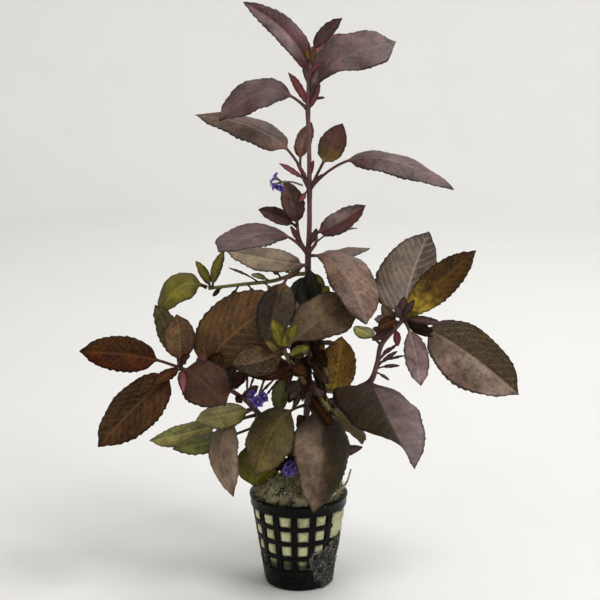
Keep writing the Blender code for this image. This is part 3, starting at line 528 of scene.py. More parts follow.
def grid_faces(rows, count, closed=True):
    """Quads between rows of equal count, listed row by row."""
    faces = []
    for row in range(rows - 1):
        for side in range(count if closed else count - 1):
            after = (side + 1) % count
            low, high = row * count, (row + 1) * count
            faces.append((low + side, low + after, high + after, high + side))
    return faces


def pointed_faces(rows, count):
    """Faces of a closed body: rings on a flat foot, with a fan to one last point."""
    last = (rows - 1) * count
    fan = [(last + side, last + (side + 1) % count, last + count) for side in range(count)]
    return grid_faces(rows, count) + fan + [tuple(reversed(range(count)))]


def sheet_faces(rows, count):
    """Faces of a closed sheet: a grid of points, the same grid behind it, and the rim between them."""
    front = grid_faces(rows, count, closed=False)
    total = rows * count
    back = [tuple(total + index for index in reversed(face)) for face in front]
    border = list(range(count)) + [row * count + count - 1 for row in range(1, rows)]
    border += [(rows - 1) * count + side for side in range(count - 2, -1, -1)]
    border += [row * count for row in range(rows - 2, 0, -1)]
    rim = [(border[i - 1], total + border[i - 1], total + border[i], border[i]) for i in range(len(border))]
    return front + back + rim


def stand(piece, node):
    """The piece takes a CAD node's place."""
    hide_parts(node)
    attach(piece, "root")


# Materials

class Tree:
    """A short way to write a node material."""

    def __init__(self, name):
        self.material = bpy.data.materials.new(name)
        self.material.use_nodes = True
        self.nodes = self.material.node_tree.nodes
        self.links = self.material.node_tree.links
        self.shader = self.nodes["Principled BSDF"]

    def put(self, socket, value):
        if isinstance(value, bpy.types.NodeSocket):
            self.links.new(value, socket)
        elif isinstance(value, tuple) and len(value) == 3 and socket.type == "RGBA":
            socket.default_value = (*value, 1)
        else:
            socket.default_value = value

    def node(self, kind, inputs, output=0, **settings):
        made = self.nodes.new("ShaderNode" + kind)
        for key, value in settings.items():
            setattr(made, key, value)
        for key, value in inputs.items():
            self.put(made.inputs[key], value)
        return made.outputs[output]

    def value(self, name):
        return self.node("Attribute", {}, "Fac", attribute_name=name)

    def math(self, operation, first, second):
        return self.node("Math", {0: first, 1: second}, operation=operation)

    def times(self, first, second):
        return self.math("MULTIPLY", first, second)

    def plus(self, first, second):
        return self.math("ADD", first, second)

    def zigzag(self, value):
        """The distance to the nearest whole number, from 0 to 0.5."""
        return self.math("PINGPONG", value, 0.5)

    def span(self, value, low, high, to_low=0.0, to_high=1.0):
        """The value mapped from one range to another, eased at both ends."""
        return self.node("MapRange", {0: value, 1: low, 2: high, 3: to_low, 4: to_high},
                         interpolation_type="SMOOTHSTEP")

    def mix(self, factor, first, second, blend="MIX"):
        return self.node("Mix", {0: factor, 6: first, 7: second}, 2, data_type="RGBA", blend_type=blend)

    def vector(self, x, y, z=0.0):
        return self.node("CombineXYZ", {0: x, 1: y, 2: z})

    def stretch(self, vector, scale):
        return self.node("VectorMath", {0: vector, 1: scale}, operation="MULTIPLY")

    def place(self):
        """The point's own place in mm."""
        return self.stretch(self.node("TexCoord", {}, "Object"), (1000, 1000, 1000))

    def height(self, place):
        return self.node("SeparateXYZ", {0: place}, 2)

    def noise(self, vector, scale, detail=3.0, rough=0.55, warp=0.0):
        return self.node("TexNoise", {"Vector": vector, "Scale": scale, "Detail": detail,
                                      "Roughness": rough, "Distortion": warp})

    def bump(self, height, distance, strength=1.0):
        return self.node("Bump", {"Height": height, "Distance": distance, "Strength": strength})

    def finish(self, **inputs):
        for key, value in inputs.items():
            self.put(self.shader.inputs[key.replace("_", " ")], value)
        return self.material


def leaf_veins(tree, here, share, edge, wander):
    """Where the side veins, the soft bands round them, the net of fine veins and the midrib show."""
    vein = tree.value("vein")
    wave = tree.zigzag(tree.plus(vein, tree.times(wander, 0.7)))
    reach = tree.times(tree.span(share, 0.0, 0.06), tree.span(edge, 0.2, 1.6))
    shown = tree.times(reach, tree.span(tree.noise(here, 0.14, 3.0), 0.3, 0.62))
    line = tree.times(tree.span(wave, 0.0, 0.085, 1.0, 0.0), shown)
    halo = tree.times(tree.span(wave, 0.02, 0.34, 1.0, 0.0), shown)
    fine = tree.span(tree.zigzag(tree.times(tree.plus(vein, wander), 4.0)), 0.0, 0.16, 1.0, 0.0)
    midrib = tree.span(tree.value("rib"), 0.25, 0.85, 1.0, 0.0)
    midrib = tree.times(midrib, tree.span(share, 0.75, 1.0, 1.0, 0.2))
    return line, halo, fine, reach, midrib


def leaf_mottling(tree, skin, look, vein_tint, here, patchy):
    """The skin with dark and light patches, and with flecks."""
    shade = tree.mix(0.75, skin, (0.34, 0.26, 0.16), "MULTIPLY")
    skin = tree.mix(tree.times(tree.span(patchy, 0.44, 0.66), look.mottle), skin, shade)
    pale = tree.stretch(skin, (1.5, 1.46, 1.4))
    skin = tree.mix(tree.span(tree.noise(here, 0.09, 2.0), 0.42, 0.62), skin, pale)
    shade = tree.mix(0.7, skin, (0.42, 0.32, 0.28), "MULTIPLY")
    skin = tree.mix(tree.span(tree.noise(here, 0.06, 2.0), 0.42, 0.6, 0.0, 0.95), skin, shade)
    spots = tree.noise(here, 0.9, 3.0, 0.65)
    fleck = tree.mix(0.6, skin, (0.42, 0.30, 0.20), "MULTIPLY")
    skin = tree.mix(tree.times(tree.span(spots, 0.5, 0.66), look.mottle), skin, fleck)
    return tree.mix(tree.times(tree.span(spots, 0.46, 0.34), look.mottle * 0.45), skin, vein_tint)


def leaf_material(name, look):
    """Leaf skin: two halves, painted lit and shaded where their colours differ, a midrib and side veins,
    mottling, dark margins and a pale under side.
    """
    tree = Tree(name)
    left, right, base, vein_tint, under_tint = (rgb(*colour) for colour in look[:5])
    along, across, share, edge = (tree.value(key) for key in ("along", "across", "share", "edge"))
    here = tree.vector(along, across)
    patchy = tree.noise(here, 0.32, 4.0, 0.6)
    grain = tree.noise(here, 2.2, 2.0)
    wander = tree.times(tree.math("SUBTRACT", patchy, 0.5), 0.5)
    line, halo, fine, reach, midrib = leaf_veins(tree, here, share, edge, wander)

    # Painted light and shade: each half takes its own colour, so a look with a pale and a dark half paints
    # one half lit and the other shaded
    side = tree.plus(across, tree.times(wander, look.blend * 1.5))
    skin = tree.mix(tree.span(side, -look.blend, look.blend), right, left)
    skin = tree.mix(tree.span(tree.plus(share, wander), 0.02, look.spread, 0.9, 0.0), skin, base)
    skin = leaf_mottling(tree, skin, look, vein_tint, here, patchy)

    vein = tree.mix(0.6, tree.stretch(skin, (1.7, 1.6, 1.5)), vein_tint)
    skin = tree.mix(tree.times(halo, look.veins * 0.35), skin, vein)
    skin = tree.mix(tree.times(line, look.veins * 0.7), skin, vein)
    skin = tree.mix(tree.times(tree.times(fine, reach), look.veins * 0.2), skin, vein)
    skin = tree.mix(tree.times(midrib, 0.25 + 0.5 * look.veins), skin, vein)

    rim = tree.mix(0.8, skin, (0.14, 0.09, 0.07), "MULTIPLY")
    skin = tree.mix(tree.span(edge, 0.15, 1.5, 0.8, 0.0), skin, rim)
    skin = tree.mix(tree.span(share, 0.88, 1.0, 0.0, 0.5), skin, rim)
    petiole = tree.mix(patchy, (0.035, 0.014, 0.011), (0.1, 0.045, 0.032))
    skin = tree.mix(tree.span(share, -0.02, 0.02), petiole, skin)
    under = tree.mix(tree.times(line, 0.5), under_tint, vein_tint)
    under = tree.mix(tree.times(patchy, 0.5), under, skin)
    skin = tree.mix(tree.value("under"), skin, under)
    skin = tree.mix(tree.span(grain, 0.3, 0.7, 0.0, 0.12), skin, (0.02, 0.015, 0.01))

    veins = tree.plus(line, tree.times(fine, 0.2))
    height = tree.math("SUBTRACT", tree.times(grain, 0.35), tree.times(veins, 0.8))
    rough = tree.plus(tree.times(patchy, 0.2), look.rough - 0.08)
    rough = tree.plus(rough, tree.times(tree.value("under"), 0.15))
    return tree.finish(Base_Color=skin, Roughness=rough, Normal=tree.bump(height, 0.00012, 0.7),
                       Specular_IOR_Level=look.gloss, Sheen_Weight=look.gloss * 0.12,
                       Sheen_Roughness=0.5, Sheen_Tint=(0.9, 0.82, 0.84))


def stem_material(name, dark, light, young):
    """Stem skin with streaks along it, darker round each node, and a young tint near its tip."""
    tree = Tree(name)
    dark, light, young = rgb(*dark), rgb(*light), rgb(*young)
    along, round_x, round_y = (tree.value(key) for key in ("along", "turn_x", "turn_y"))
    here = tree.vector(round_x, round_y, tree.times(along, 0.12))
    streak = tree.noise(tree.stretch(here, (1, 1, 0.6)), 3.2, 4.0, 0.6)
    patch = tree.noise(here, 0.8, 3.0)
    speck = tree.noise(tree.vector(round_x, round_y, along), 2.4, 2.0)
    skin = tree.mix(tree.span(streak, 0.32, 0.68), dark, light)
    skin = tree.mix(tree.span(patch, 0.45, 0.75, 0.0, 0.6), skin, young)
    skin = tree.mix(tree.span(tree.value("share"), 0.55, 1.0, 0.0, 0.55), skin, young)
    skin = tree.mix(tree.times(tree.value("rib"), 0.5), skin, tuple(v * 0.45 for v in dark))
    skin = tree.mix(tree.span(speck, 0.6, 0.75, 0.0, 0.5), skin, tuple(v * 0.5 for v in dark))
    height = tree.plus(streak, tree.times(speck, 0.5))
    rough = tree.plus(tree.times(patch, 0.3), 0.3)
    return tree.finish(Base_Color=skin, Roughness=rough, Normal=tree.bump(height, 0.00015, 0.8))


def plastic_material():
    """Black moulded plastic with dull handling marks, and a film of silt toward its foot."""
    tree = Tree("pot_plastic")
    here = tree.place()
    cloud = tree.noise(here, 0.12, 4.0)
    dust = tree.noise(here, 0.7, 5.0, 0.7)
    scuff = tree.noise(tree.stretch(here, (1, 1, 0.12)), 1.6, 3.0)
    skin = tree.mix(tree.span(cloud, 0.4, 0.7), (0.003, 0.003, 0.0032), (0.006, 0.0056, 0.005))
    silt = tree.times(tree.span(tree.height(here), 2, 26, 1.0, 0.15), tree.span(dust, 0.5, 0.72))
    skin = tree.mix(tree.times(silt, 0.3), skin, (0.02, 0.018, 0.014))
    skin = tree.mix(tree.span(scuff, 0.62, 0.74, 0.0, 0.25), skin, (0.04, 0.04, 0.042))
    rough = tree.plus(tree.span(dust, 0.3, 0.8, 0.2, 0.42), tree.times(silt, 0.3))
    grain = tree.bump(tree.noise(here, 3.5, 2.0), 0.00006, 0.6)
    return tree.finish(Base_Color=skin, Roughness=rough, Normal=grain, Specular_IOR_Level=0.07)


def wool_material():
    """Mineral wool: matted fibres, straw and green, dark on its heaped top and where silt stains it."""
    tree = Tree("wool_fibre")
    here = tree.place()
    height = tree.height(here)
    mat = tree.noise(tree.stretch(here, (1.6, 0.5, 1.0)), 1.3, 6.0, 0.72, 1.2)
    weave = tree.noise(tree.stretch(here, (0.5, 1.7, 1.4)), 1.1, 6.0, 0.72, 1.5)
    blot = tree.noise(here, 0.11, 4.0, 0.6)
    skin = tree.mix(tree.span(mat, 0.3, 0.7), rgb(196, 194, 134), rgb(246, 244, 214))
    skin = tree.mix(tree.span(tree.noise(here, 0.2, 3.0), 0.4, 0.65, 0.0, 0.6), skin, rgb(206, 210, 136))
    skin = tree.mix(tree.span(weave, 0.55, 0.75, 0.0, 0.6), skin, rgb(250, 248, 232))
    skin = tree.mix(tree.span(blot, 0.5, 0.66, 0.0, 0.5), skin, rgb(124, 120, 70))
    heap = tree.span(height, RIM_FOOT, RIM_FOOT + 5)
    clump = tree.span(tree.noise(here, 0.26, 4.0, 0.65), 0.46, 0.58, 0.0, 0.94)
    straw = tree.span(weave, 0.6, 0.7, 0.0, 0.7)
    skin = tree.mix(tree.times(heap, 0.6), skin, rgb(110, 96, 44))
    skin = tree.mix(tree.times(heap, clump), skin, rgb(34, 25, 13))
    skin = tree.mix(tree.times(heap, straw), skin, rgb(206, 196, 150))
    silt = tree.plus(height, tree.times(tree.math("SUBTRACT", blot, 0.5), 14))
    skin = tree.mix(tree.span(silt, 15.5, 19.5, 0.96, 0.0), skin, rgb(26, 24, 18))
    return tree.finish(Base_Color=skin, Roughness=0.92, Normal=tree.bump(tree.plus(mat, weave), 0.0006))


def root_material():
    """Dark fine roots and silt, grey in places where they have dried."""
    tree = Tree("root_mat")
    here = tree.place()
    clod = tree.noise(here, 0.35, 5.0, 0.7)
    speck = tree.noise(here, 0.75, 3.0, 0.75)
    skin = tree.mix(tree.span(clod, 0.42, 0.62), (0.007, 0.006, 0.005), (0.11, 0.105, 0.095))
    skin = tree.mix(tree.span(speck, 0.56, 0.64, 0.0, 0.85), skin, (0.5, 0.49, 0.45))
    return tree.finish(Base_Color=skin, Roughness=tree.span(clod, 0.3, 0.7, 0.55, 0.9),
                       Normal=tree.bump(tree.plus(clod, speck), 0.0006))


def fibre_material(name, light, dark):
    tree = Tree(name)
    here = tree.place()
    light, dark = rgb(*light), rgb(*dark)
    skin = tree.mix(tree.span(tree.noise(here, 0.5, 3.0), 0.35, 0.65), light, dark)
    skin = tree.mix(tree.span(tree.noise(here, 4.0, 1.0), 0.5, 0.8, 0.0, 0.4), skin, light)
    return tree.finish(Base_Color=skin, Roughness=tree.span(tree.noise(here, 1.2), 0.3, 0.7, 0.5, 0.85))


def petal_material():
    """Violet petals, dark toward the throat, with fine lines that run outward."""
    tree = Tree("petal_violet")
    share = tree.value("share")
    lines = tree.zigzag(tree.times(tree.value("across"), 3.5))
    skin = tree.mix(tree.span(share, 0.0, 0.9), rgb(52, 30, 120), rgb(122, 98, 200))
    skin = tree.mix(tree.span(lines, 0.0, 0.2, 0.35, 0.0), skin, rgb(66, 38, 128))
    skin = tree.mix(tree.span(share, 0.8, 1.0, 0.0, 0.5), skin, rgb(186, 174, 222))
    blotch = tree.noise(tree.place(), 0.9, 3.0)
    skin = tree.mix(tree.span(blotch, 0.5, 0.72, 0.0, 0.6), skin, rgb(74, 52, 140))
    return tree.finish(Base_Color=skin, Roughness=tree.span(blotch, 0.3, 0.7, 0.45, 0.7),
                       Normal=tree.bump(lines, 0.0001, 0.5))


def paper_material():
    """The studio's floor: two close pale tones in soft patches."""
    tree = Tree("studio_paper")
    skin = tree.mix(tree.noise(tree.place(), 0.01, 2.0), (0.68, 0.672, 0.652), (0.72, 0.712, 0.695))
    return tree.finish(Base_Color=skin, Roughness=0.8)


# Leaves

def blade_width(share, widest):
    """Half the blade's width at a share of its length, with 1 at its widest."""
    base_power = BLADE_TAPER * widest / (1 - widest)
    full = widest**base_power * (1 - widest)**BLADE_TAPER
    share = np.clip(share, 0, 1)
    width = share**base_power * (1 - share)**BLADE_TAPER / full
    at_turn = TIP_SHARE**base_power * (1 - TIP_SHARE)**BLADE_TAPER / full
    return np.where(share > TIP_SHARE, at_turn * ((1 - share) / (1 - TIP_SHARE))**1.08, width)


def leaf_frame(base, tip):
    """The length and axes of a leaf: X runs to the tip, Y lies flat to its left, and Z is up."""
    run = Vector(tip) - Vector(base)
    along = run.normalized()
    left = Vector((-along.y, along.x, 0)).normalized()
    return run.length, np.array((along, left, along.cross(left))).T


def midrib(leaf, length, share):
    """Points of the leaf's midrib in its own axes."""
    u = share + leaf.skew * share * (1 - share)
    hump = 4 * u * (1 - u)
    return np.stack((length * share, leaf.bow * hump, leaf.arch * hump), axis=-1)


class Blade:
    """A leaf's petiole and blade in its own axes, as rows along it and a ring of points in each row.

    t and s are columns: the share of the leaf's length, and the share of the blade's. ring is a row that
    runs from 1 at the left margin over the top to -1 at the right one and back under. v is the same with
    its points drawn toward the midrib, spread goes from 0 on the petiole to 1 on the blade, and x is how
    far left of the midrib each point lies.
    """

    def __init__(self, leaf, base, foot, chance):
        self.leaf, self.chance = leaf, chance
        self.length, self.axes = leaf_frame(base, leaf.tip)
        self.half_width = leaf.width / 2
        self.stalk_radius = PETIOLE_RADIUS * min(1.0, 0.45 + self.half_width / 12)
        start = foot / self.length
        stalk = max(leaf.stalk, start + SHORTEST_STALK / self.length)
        self.blade = (1 - stalk) * self.length
        self.small = min(1.0, self.blade / SMALL_BLADE)
        self.t = self.row_shares(start, stalk)
        self.s = np.clip((self.t - stalk) / (1 - stalk), 0, 1)
        self.spread = smooth(0.0, 0.1, self.s)
        self.flare = np.where(self.s > 0, 1, 1 + 0.5 * np.exp(-((self.t - start) * self.length / 1.8)))

        self.sides = 8 if self.half_width < 4.5 else 11
        over = np.linspace(1, -1, 2 * self.sides + 1)
        self.ring = np.concatenate((over, -over[1:-1]))
        self.on_top = np.arange(len(self.ring)) < len(over)
        self.v = np.sign(self.ring) * np.abs(self.ring)**1.3
        self.half = self.half_widths()
        self.reach = np.sqrt(self.half**2 + (self.stalk_radius * (1 - smooth(0, 0.25, self.s)))**2)
        self.x = self.across()

    def row_shares(self, start, stalk):
        rows = int(np.clip(ceil(self.blade / ROW_STEP), 16, 96))
        stalk_rows = max(3, ceil((stalk - start) * self.length / STALK_ROW_STEP))
        share = np.linspace(0, 1, rows + 1)[:-1]
        share = share + 0.35 * share * (1 - share) * (share - 0.5) * 0.6
        petiole = np.linspace(start, stalk, stalk_rows, endpoint=False)
        return np.concatenate((petiole, stalk + (1 - stalk) * share))[:, None]

    def half_widths(self):
        """How far each half of the blade reaches from the midrib."""
        leaf = self.leaf
        narrow = [1.0, 1.0]
        if leaf.tuck:
            half, tuck_start = leaf.tuck
            narrow[half] = smooth(tuck_start + 0.34, tuck_start, self.s)
        left, right = (leaf.halves[i] * blade_width(self.s, leaf.widest[i]) * narrow[i] for i in (0, 1))
        return self.half_width * np.where(self.v > 0, left, right)

    def margin(self):
        """The teeth of the margin and the small uneven notches of each half."""
        s = self.s
        teeth = max(2, round(self.blade / TOOTH_SPACING))
        step = np.modf(s * teeth + self.chance.random() * 0.2)[0]
        tooth = (step**1.4 - 0.4) * TOOTH_DEPTH * self.small * smooth(0.04, 0.15, s) * smooth(1.0, 0.93, s)
        notch = self.chance.normal(0, NOTCH_DEPTH, (2, len(s), 1)) * self.small
        return np.where(self.v > 0, tooth + notch[0], tooth + notch[1])

    def across(self):
        v = self.v
        flat = v * self.reach + np.sign(v) * self.margin() * np.abs(v)**5
        petiole = np.cos(np.pi * (1 - self.ring) / 2) * self.stalk_radius
        return petiole * (1 - self.spread) + flat * self.spread

    def relief(self):
        """How high the leaf lies over its axes: fold, quilting, ripples and droop. Also its veins' phase."""
        s, v, x, chance, half_width = self.s, self.v, self.x, self.chance, self.half_width
        side = np.abs(x)
        crease = np.sqrt(side**2 + 0.8) - np.sqrt(0.8)
        spacing = max(3.0, self.blade / 11)
        sweep = 0.75 + chance.normal(0, 0.05)
        phase = (s * self.blade - sweep * side - 0.55 * side**2 / max(half_width, 1)) / spacing
        phase = phase + np.where(x > 0, 0.25, 0.0)
        puff = np.abs(np.sin(np.pi * phase))**0.8 - 0.5
        puff = puff * np.clip(side / 1.5, 0, 1) * (1 - np.abs(v)**3)
        quilt = 0.03 * spacing * min(1.0, half_width / 8) * puff
        waves = 2 * np.pi * chance.uniform(2.0, 3.2) * s
        wave_turn = chance.uniform(0, 2 * np.pi, 2)
        wave = np.where(x > 0, np.sin(waves + wave_turn[0]), np.sin(0.87 * waves + wave_turn[1]))
        ripple = 0.055 * half_width * wave * np.abs(v)**2.2 * smooth(0.05, 0.3, s)
        droop = -0.16 * chance.uniform(0.4, 1.2) * side**2 / max(half_width, 1)
        fold = crease * sin(radians(self.leaf.fold))
        return fold + (quilt + ripple + droop) * self.spread, phase

    def depth(self):
        """How far each point lies over or under the leaf's middle: a groove above, the midrib below."""
        s, x = self.s, self.x
        sheet = BLADE_THICKNESS / 2 * (0.55 + 0.45 * (1 - np.abs(self.v)**2)) * (np.abs(self.ring) < 0.999)
        sheet = np.minimum(sheet, 0.5 * self.half + 0.05)
        rib = self.stalk_radius * 0.95 * (1 - 0.8 * s) * smooth(1.02, 0.9, s)
        ridge = rib * np.exp(-(x / (0.75 * rib + 0.15))**2)
        groove = GROOVE_DEPTH * np.exp(-(x / 0.55)**2) * self.small
        flat = np.where(self.on_top, sheet - groove, -sheet - ridge)
        petiole = np.sin(np.pi * (1 - self.ring) / 2) * self.stalk_radius * np.where(self.on_top, 0.8, -1.0)
        return petiole * (1 - self.spread) + flat * self.spread

    def points(self, rise):
        """The points in the leaf's axes, with one more at the tip."""
        leaf, length, t = self.leaf, self.length, self.t
        ahead = unit(midrib(leaf, length, t + 0.01) - midrib(leaf, length, t - 0.01))
        left = unit(np.cross(np.array(leaf.face) @ self.axes, ahead))
        up = np.cross(ahead, left)
        x = self.x * self.flare
        slope = cos(radians(leaf.fold))
        slant = np.where(x > 0, *leaf.slant)[..., None] * ahead
        lean = left * (1 + self.spread * (slope - 1))[..., None] + self.spread[..., None] * slant
        points = midrib(leaf, length, t) + lean * x[..., None] + up * rise[..., None]
        return np.concatenate((points.reshape(-1, 3), midrib(leaf, length, np.array([1.0]))))


def add_leaf(shape, leaf, base, foot, chance, slot=0):
    """Adds one leaf to the shape: a petiole from foot mm along its line, and a blade of two sheets."""
    blade = Blade(leaf, base, foot, chance)
    lift, phase = blade.relief()
    world = blade.points(lift + blade.depth() * blade.flare) @ blade.axes.T + np.array(base)
    seed = chance.uniform(0, 400)
    count = len(blade.ring)
    lower = [float(side >= 2 * blade.sides) for side in range(count)]

    def each(rows):
        """One value for each point of the mesh, and the last one again for the tip."""
        return np.append(np.broadcast_to(rows, blade.x.shape), rows[-1, -1])

    shape.add(world, pointed_faces(len(blade.t), count), slot, lower * len(blade.t) + [0.0],
              along=each(blade.t * blade.length + seed), across=each(blade.x * blade.flare),
              share=each(np.where(blade.s > 0, blade.s, -0.05)), rib=each(np.abs(blade.x)),
              edge=each((1 - np.abs(blade.v)) * blade.reach), vein=each(phase))


def make_leaves(looks):
    for number, leaf in enumerate(LEAVES):
        chance = np.random.default_rng(100 + number)
        shape = Shape()
        stem_name, base = NODES[leaf.node]
        add_leaf(shape, leaf, base, 0.6 * STEMS[stem_name].tip_radius, chance)
        made = shape.build(leaf.name.replace("leaf", "blade"), [looks[leaf.look]])
        stand(made, leaf.name)


# Stems

def stem_curve(points, step=1.2):
    """A smooth line through points, as places, directions and shares of the way."""
    path = [Vector(point) for point in points]
    ends = [path[0] * 2 - path[1], *path, path[-1] * 2 - path[-2]]
    places, shares = [], []
    for i in range(1, len(ends) - 2):
        a, b, c, d = ends[i - 1:i + 3]
        count = max(2, ceil((c - b).length / step))
        for k in range(count + (i == len(ends) - 3)):
            u = k / count
            places.append(0.5 * (2 * b + (c - a) * u + (2 * a - 5 * b + 4 * c - d) * u * u
                                 + (3 * b - a - 3 * c + d) * u**3))
            shares.append((i - 1 + u) / (len(path) - 1))
    places = np.array(places)
    return places, unit(np.gradient(places, axis=0)), np.array(shares)


def tube(shape, places, ahead, radii, sides, slot=0, **values):
    """Adds a closed tube with frames that don't twist."""
    count = len(places)
    side = unit(np.cross(ahead[0], (0.3, 1, 0.1)))
    run = np.concatenate(([0], np.cumsum(np.linalg.norm(np.diff(places, axis=0), axis=1))))
    turn = 2 * np.pi * np.arange(sides) / sides
    rings = []
    for k in range(count):
        side = unit(side - ahead[k] * np.dot(side, ahead[k]))
        other = np.cross(ahead[k], side)
        ring = np.cos(turn)[:, None] * side + np.sin(turn)[:, None] * other
        rings.append(places[k] + ring * np.broadcast_to(radii[k], sides)[:, None])
    last = (count - 1) * sides
    caps = [tuple(reversed(range(sides))), tuple(range(last, last + sides))]
    repeat = {key: np.repeat(value, sides) for key, value in values.items()}
    shape.add(np.concatenate(rings), grid_faces(count, sides) + caps, slot, along=np.repeat(run, sides),
              turn_x=np.tile(np.cos(turn), count), turn_y=np.tile(np.sin(turn), count), **repeat)


def add_axis(shape, name, stem, chance):
    """Adds a stem's own axis: four faint ribs, uneven skin, and a swelling at each node."""
    places, ahead, shares = stem_curve(stem.points)
    radii = stem.root_radius + (stem.tip_radius - stem.root_radius) * shares
    swell = np.zeros(len(places))
    for node_stem, place in NODES.values():
        if node_stem == name:
            gap = np.linalg.norm(places - np.array(place), axis=1)
            swell = np.maximum(swell, np.exp(-(gap / (2.2 * stem.root_radius))**2))
    radii = 0.9 * radii * (1 + 0.22 * swell)
    turn = 2 * np.pi * np.arange(STEM_SIDES) / STEM_SIDES
    uneven = 1 + 0.05 * np.cos(4 * turn) + chance.normal(0, 0.012, (len(places), STEM_SIDES))
    tube(shape, places, ahead, radii[:, None] * uneven, STEM_SIDES, share=shares, rib=swell)


def young_leaf(tip, face, width, arch, fold, stalk):
    return Leaf("young", None, None, tip, face, width, arch, 0, fold, stalk)


def make_stems(looks):
    """Each stem with the sprouts and leaflets that grow on it."""
    skins = {
        "stem_green": stem_material("stem_green_skin", (88, 78, 34), (122, 112, 56), (130, 134, 62)),
        "stem_front": stem_material("stem_front_skin", (74, 50, 34), (112, 92, 56), (118, 118, 62)),
    }
    red = stem_material("stem_red_skin", (52, 22, 20), (100, 60, 54), (120, 82, 74))
    for name, stem in STEMS.items():
        chance = np.random.default_rng(len(name) * 31 + 7)
        shape = Shape()
        add_axis(shape, name, stem, chance)
        sprout_look, sprouts = SPROUTS.get(name, ("wine", ()))
        for root, tip, width in sprouts:
            arch = 0.05 * (Vector(tip) - Vector(root)).length
            young = young_leaf(tip, (0.1, -1, 0.5), width, arch, 12, 0.1 if width > 3 else 0.3)
            add_leaf(shape, young, root, 0.6, chance, 1)
        used = [looks[sprout_look]]
        for root, tip, width, look in LEAFLETS.get(name, ()):
            surface = looks[look]
            if surface not in used:
                used.append(surface)
            face = (chance.uniform(-0.5, 0.5), -1, chance.uniform(0.1, 0.9))
            arch = chance.uniform(-0.1, 0.16) * (Vector(tip) - Vector(root)).length
            fold = chance.uniform(-10, 20)
            young = young_leaf(tip, face, width, arch, fold, 0.15 if width > 3 else 0.35)
            add_leaf(shape, young, root, 0.3, chance, 1 + used.index(surface))
        made = shape.build(name.replace("stem", "shoot"), [skins.get(name, red), *used])
        stand(made, name)


# Flowers

def add_petal(shape, centre, axis, out, reach, chance):
    """One rounded petal that leaves the throat and curls back at its end."""
    rows, half = 7, 4
    side = np.cross(axis, out)
    points, shares, spans = [], [], []
    curl = chance.uniform(0.2, 0.6)
    for row in range(rows):
        s = row / (rows - 1)
        width = PETAL_WIDTH * (0.35 + 0.65 * np.sin(np.pi * min(s * 1.05, 1.0)**0.8)) * (1 - 0.55 * s**6)
        for k in range(-half, half + 1):
            v = k / half
            place = centre + out * reach * s * (1 - 0.12 * v * v * s) + side * width * v
            place = place + axis * (PETAL_LIFT * s - curl * s**3 * reach * 0.6 + 0.3 * v * v * width)
            points.append(place)
            shares.append(s)
            spans.append(v)
    top = np.array(points)
    shape.add(np.concatenate((top, top - axis * PETAL_THICKNESS)), sheet_faces(rows, 2 * half + 1),
              share=np.array(shares * 2), across=np.array(spans * 2))


def add_floret(shape, head, step, chance):
    """One floret that opens at a step from the head: a calyx and tube, five petals and four stamens."""
    axis = step / np.linalg.norm(step)
    throat = head + step * 0.72
    places, ahead, shares = stem_curve((head - axis * 0.3, head + step * 0.4, throat), 0.4)
    tube(shape, places, ahead, 0.5 + 0.55 * shares**2, 10, 1, share=shares)
    side = unit(np.cross(axis, (0.2, 0.3, 1)))
    other = np.cross(axis, side)
    for k in range(PETAL_COUNT):
        turn = 2 * pi * k / PETAL_COUNT + chance.uniform(-0.12, 0.12)
        out = cos(turn) * side + sin(turn) * other
        add_petal(shape, throat + out * 0.3, axis, out, PETAL_LENGTH * chance.uniform(0.9, 1.1), chance)
    for k in range(STAMEN_COUNT):
        turn = 2 * pi * k / STAMEN_COUNT + 0.4
        out = cos(turn) * side + sin(turn) * other
        route = (throat, throat + axis * 0.9 + out * 0.15, throat + axis * 1.7 + out * 0.5)
        places, ahead, shares = stem_curve(route, 0.4)
        tube(shape, places, ahead, 0.1 + 0.12 * smooth(0.7, 1.0, shares), 6, 2, share=shares)


def make_flowers():
    petal = petal_material()
    calyx = stem_material("calyx_skin", (60, 38, 40), (96, 78, 60), (104, 96, 66))
    anther = fibre_material("anther_pale", (206, 196, 214), (150, 132, 186))
    for number, flower in enumerate(FLOWERS):
        chance = np.random.default_rng(40 + number)
        shape = Shape()
        root, head = np.array(flower.root), np.array(flower.head)
        bend = (root + head) / 2 + np.array((0, 0, 0.8))
        places, ahead, shares = stem_curve((root, bend, head), 0.5)
        tube(shape, places, ahead, np.full(len(places), 0.5), 8, 1, share=shares)
        for step in flower.florets:
            add_floret(shape, head, np.array(step), chance)
        made = shape.build(flower.name.replace("flower", "florets"), [petal, calyx, anther])
        stand(made, flower.name)


# Net pot

def pot_radius(z):
    """The outer radius of the pot's tapering wall."""
    return POT_FOOT_RADIUS + (POT_TOP_RADIUS - POT_FOOT_RADIUS) * z / RIM_FOOT


def window_rows():
    return [WINDOW_FOOT + row * (WINDOW_HEIGHT + WINDOW_BAR) for row in range(WINDOW_ROWS)]


def pot_angles():
    """The angles of the wall's points, and for the strip after each one whether it lies on a rib."""
    rib_half = RIB_PITCH / 2 * RIB_SHARE
    angles, on_rib = [], []
    for rib in range(RIB_COUNT):
        middle = RIB_PITCH * rib - pi / 2 - RIB_TURN
        angles += [middle - rib_half + 2 * rib_half * k / RIB_STRIPS for k in range(RIB_STRIPS)]
        angles += [middle + rib_half + (RIB_PITCH - 2 * rib_half) * k / WINDOW_STRIPS
                   for k in range(WINDOW_STRIPS)]
        on_rib += [True] * RIB_STRIPS + [False] * WINDOW_STRIPS
    return angles, on_rib


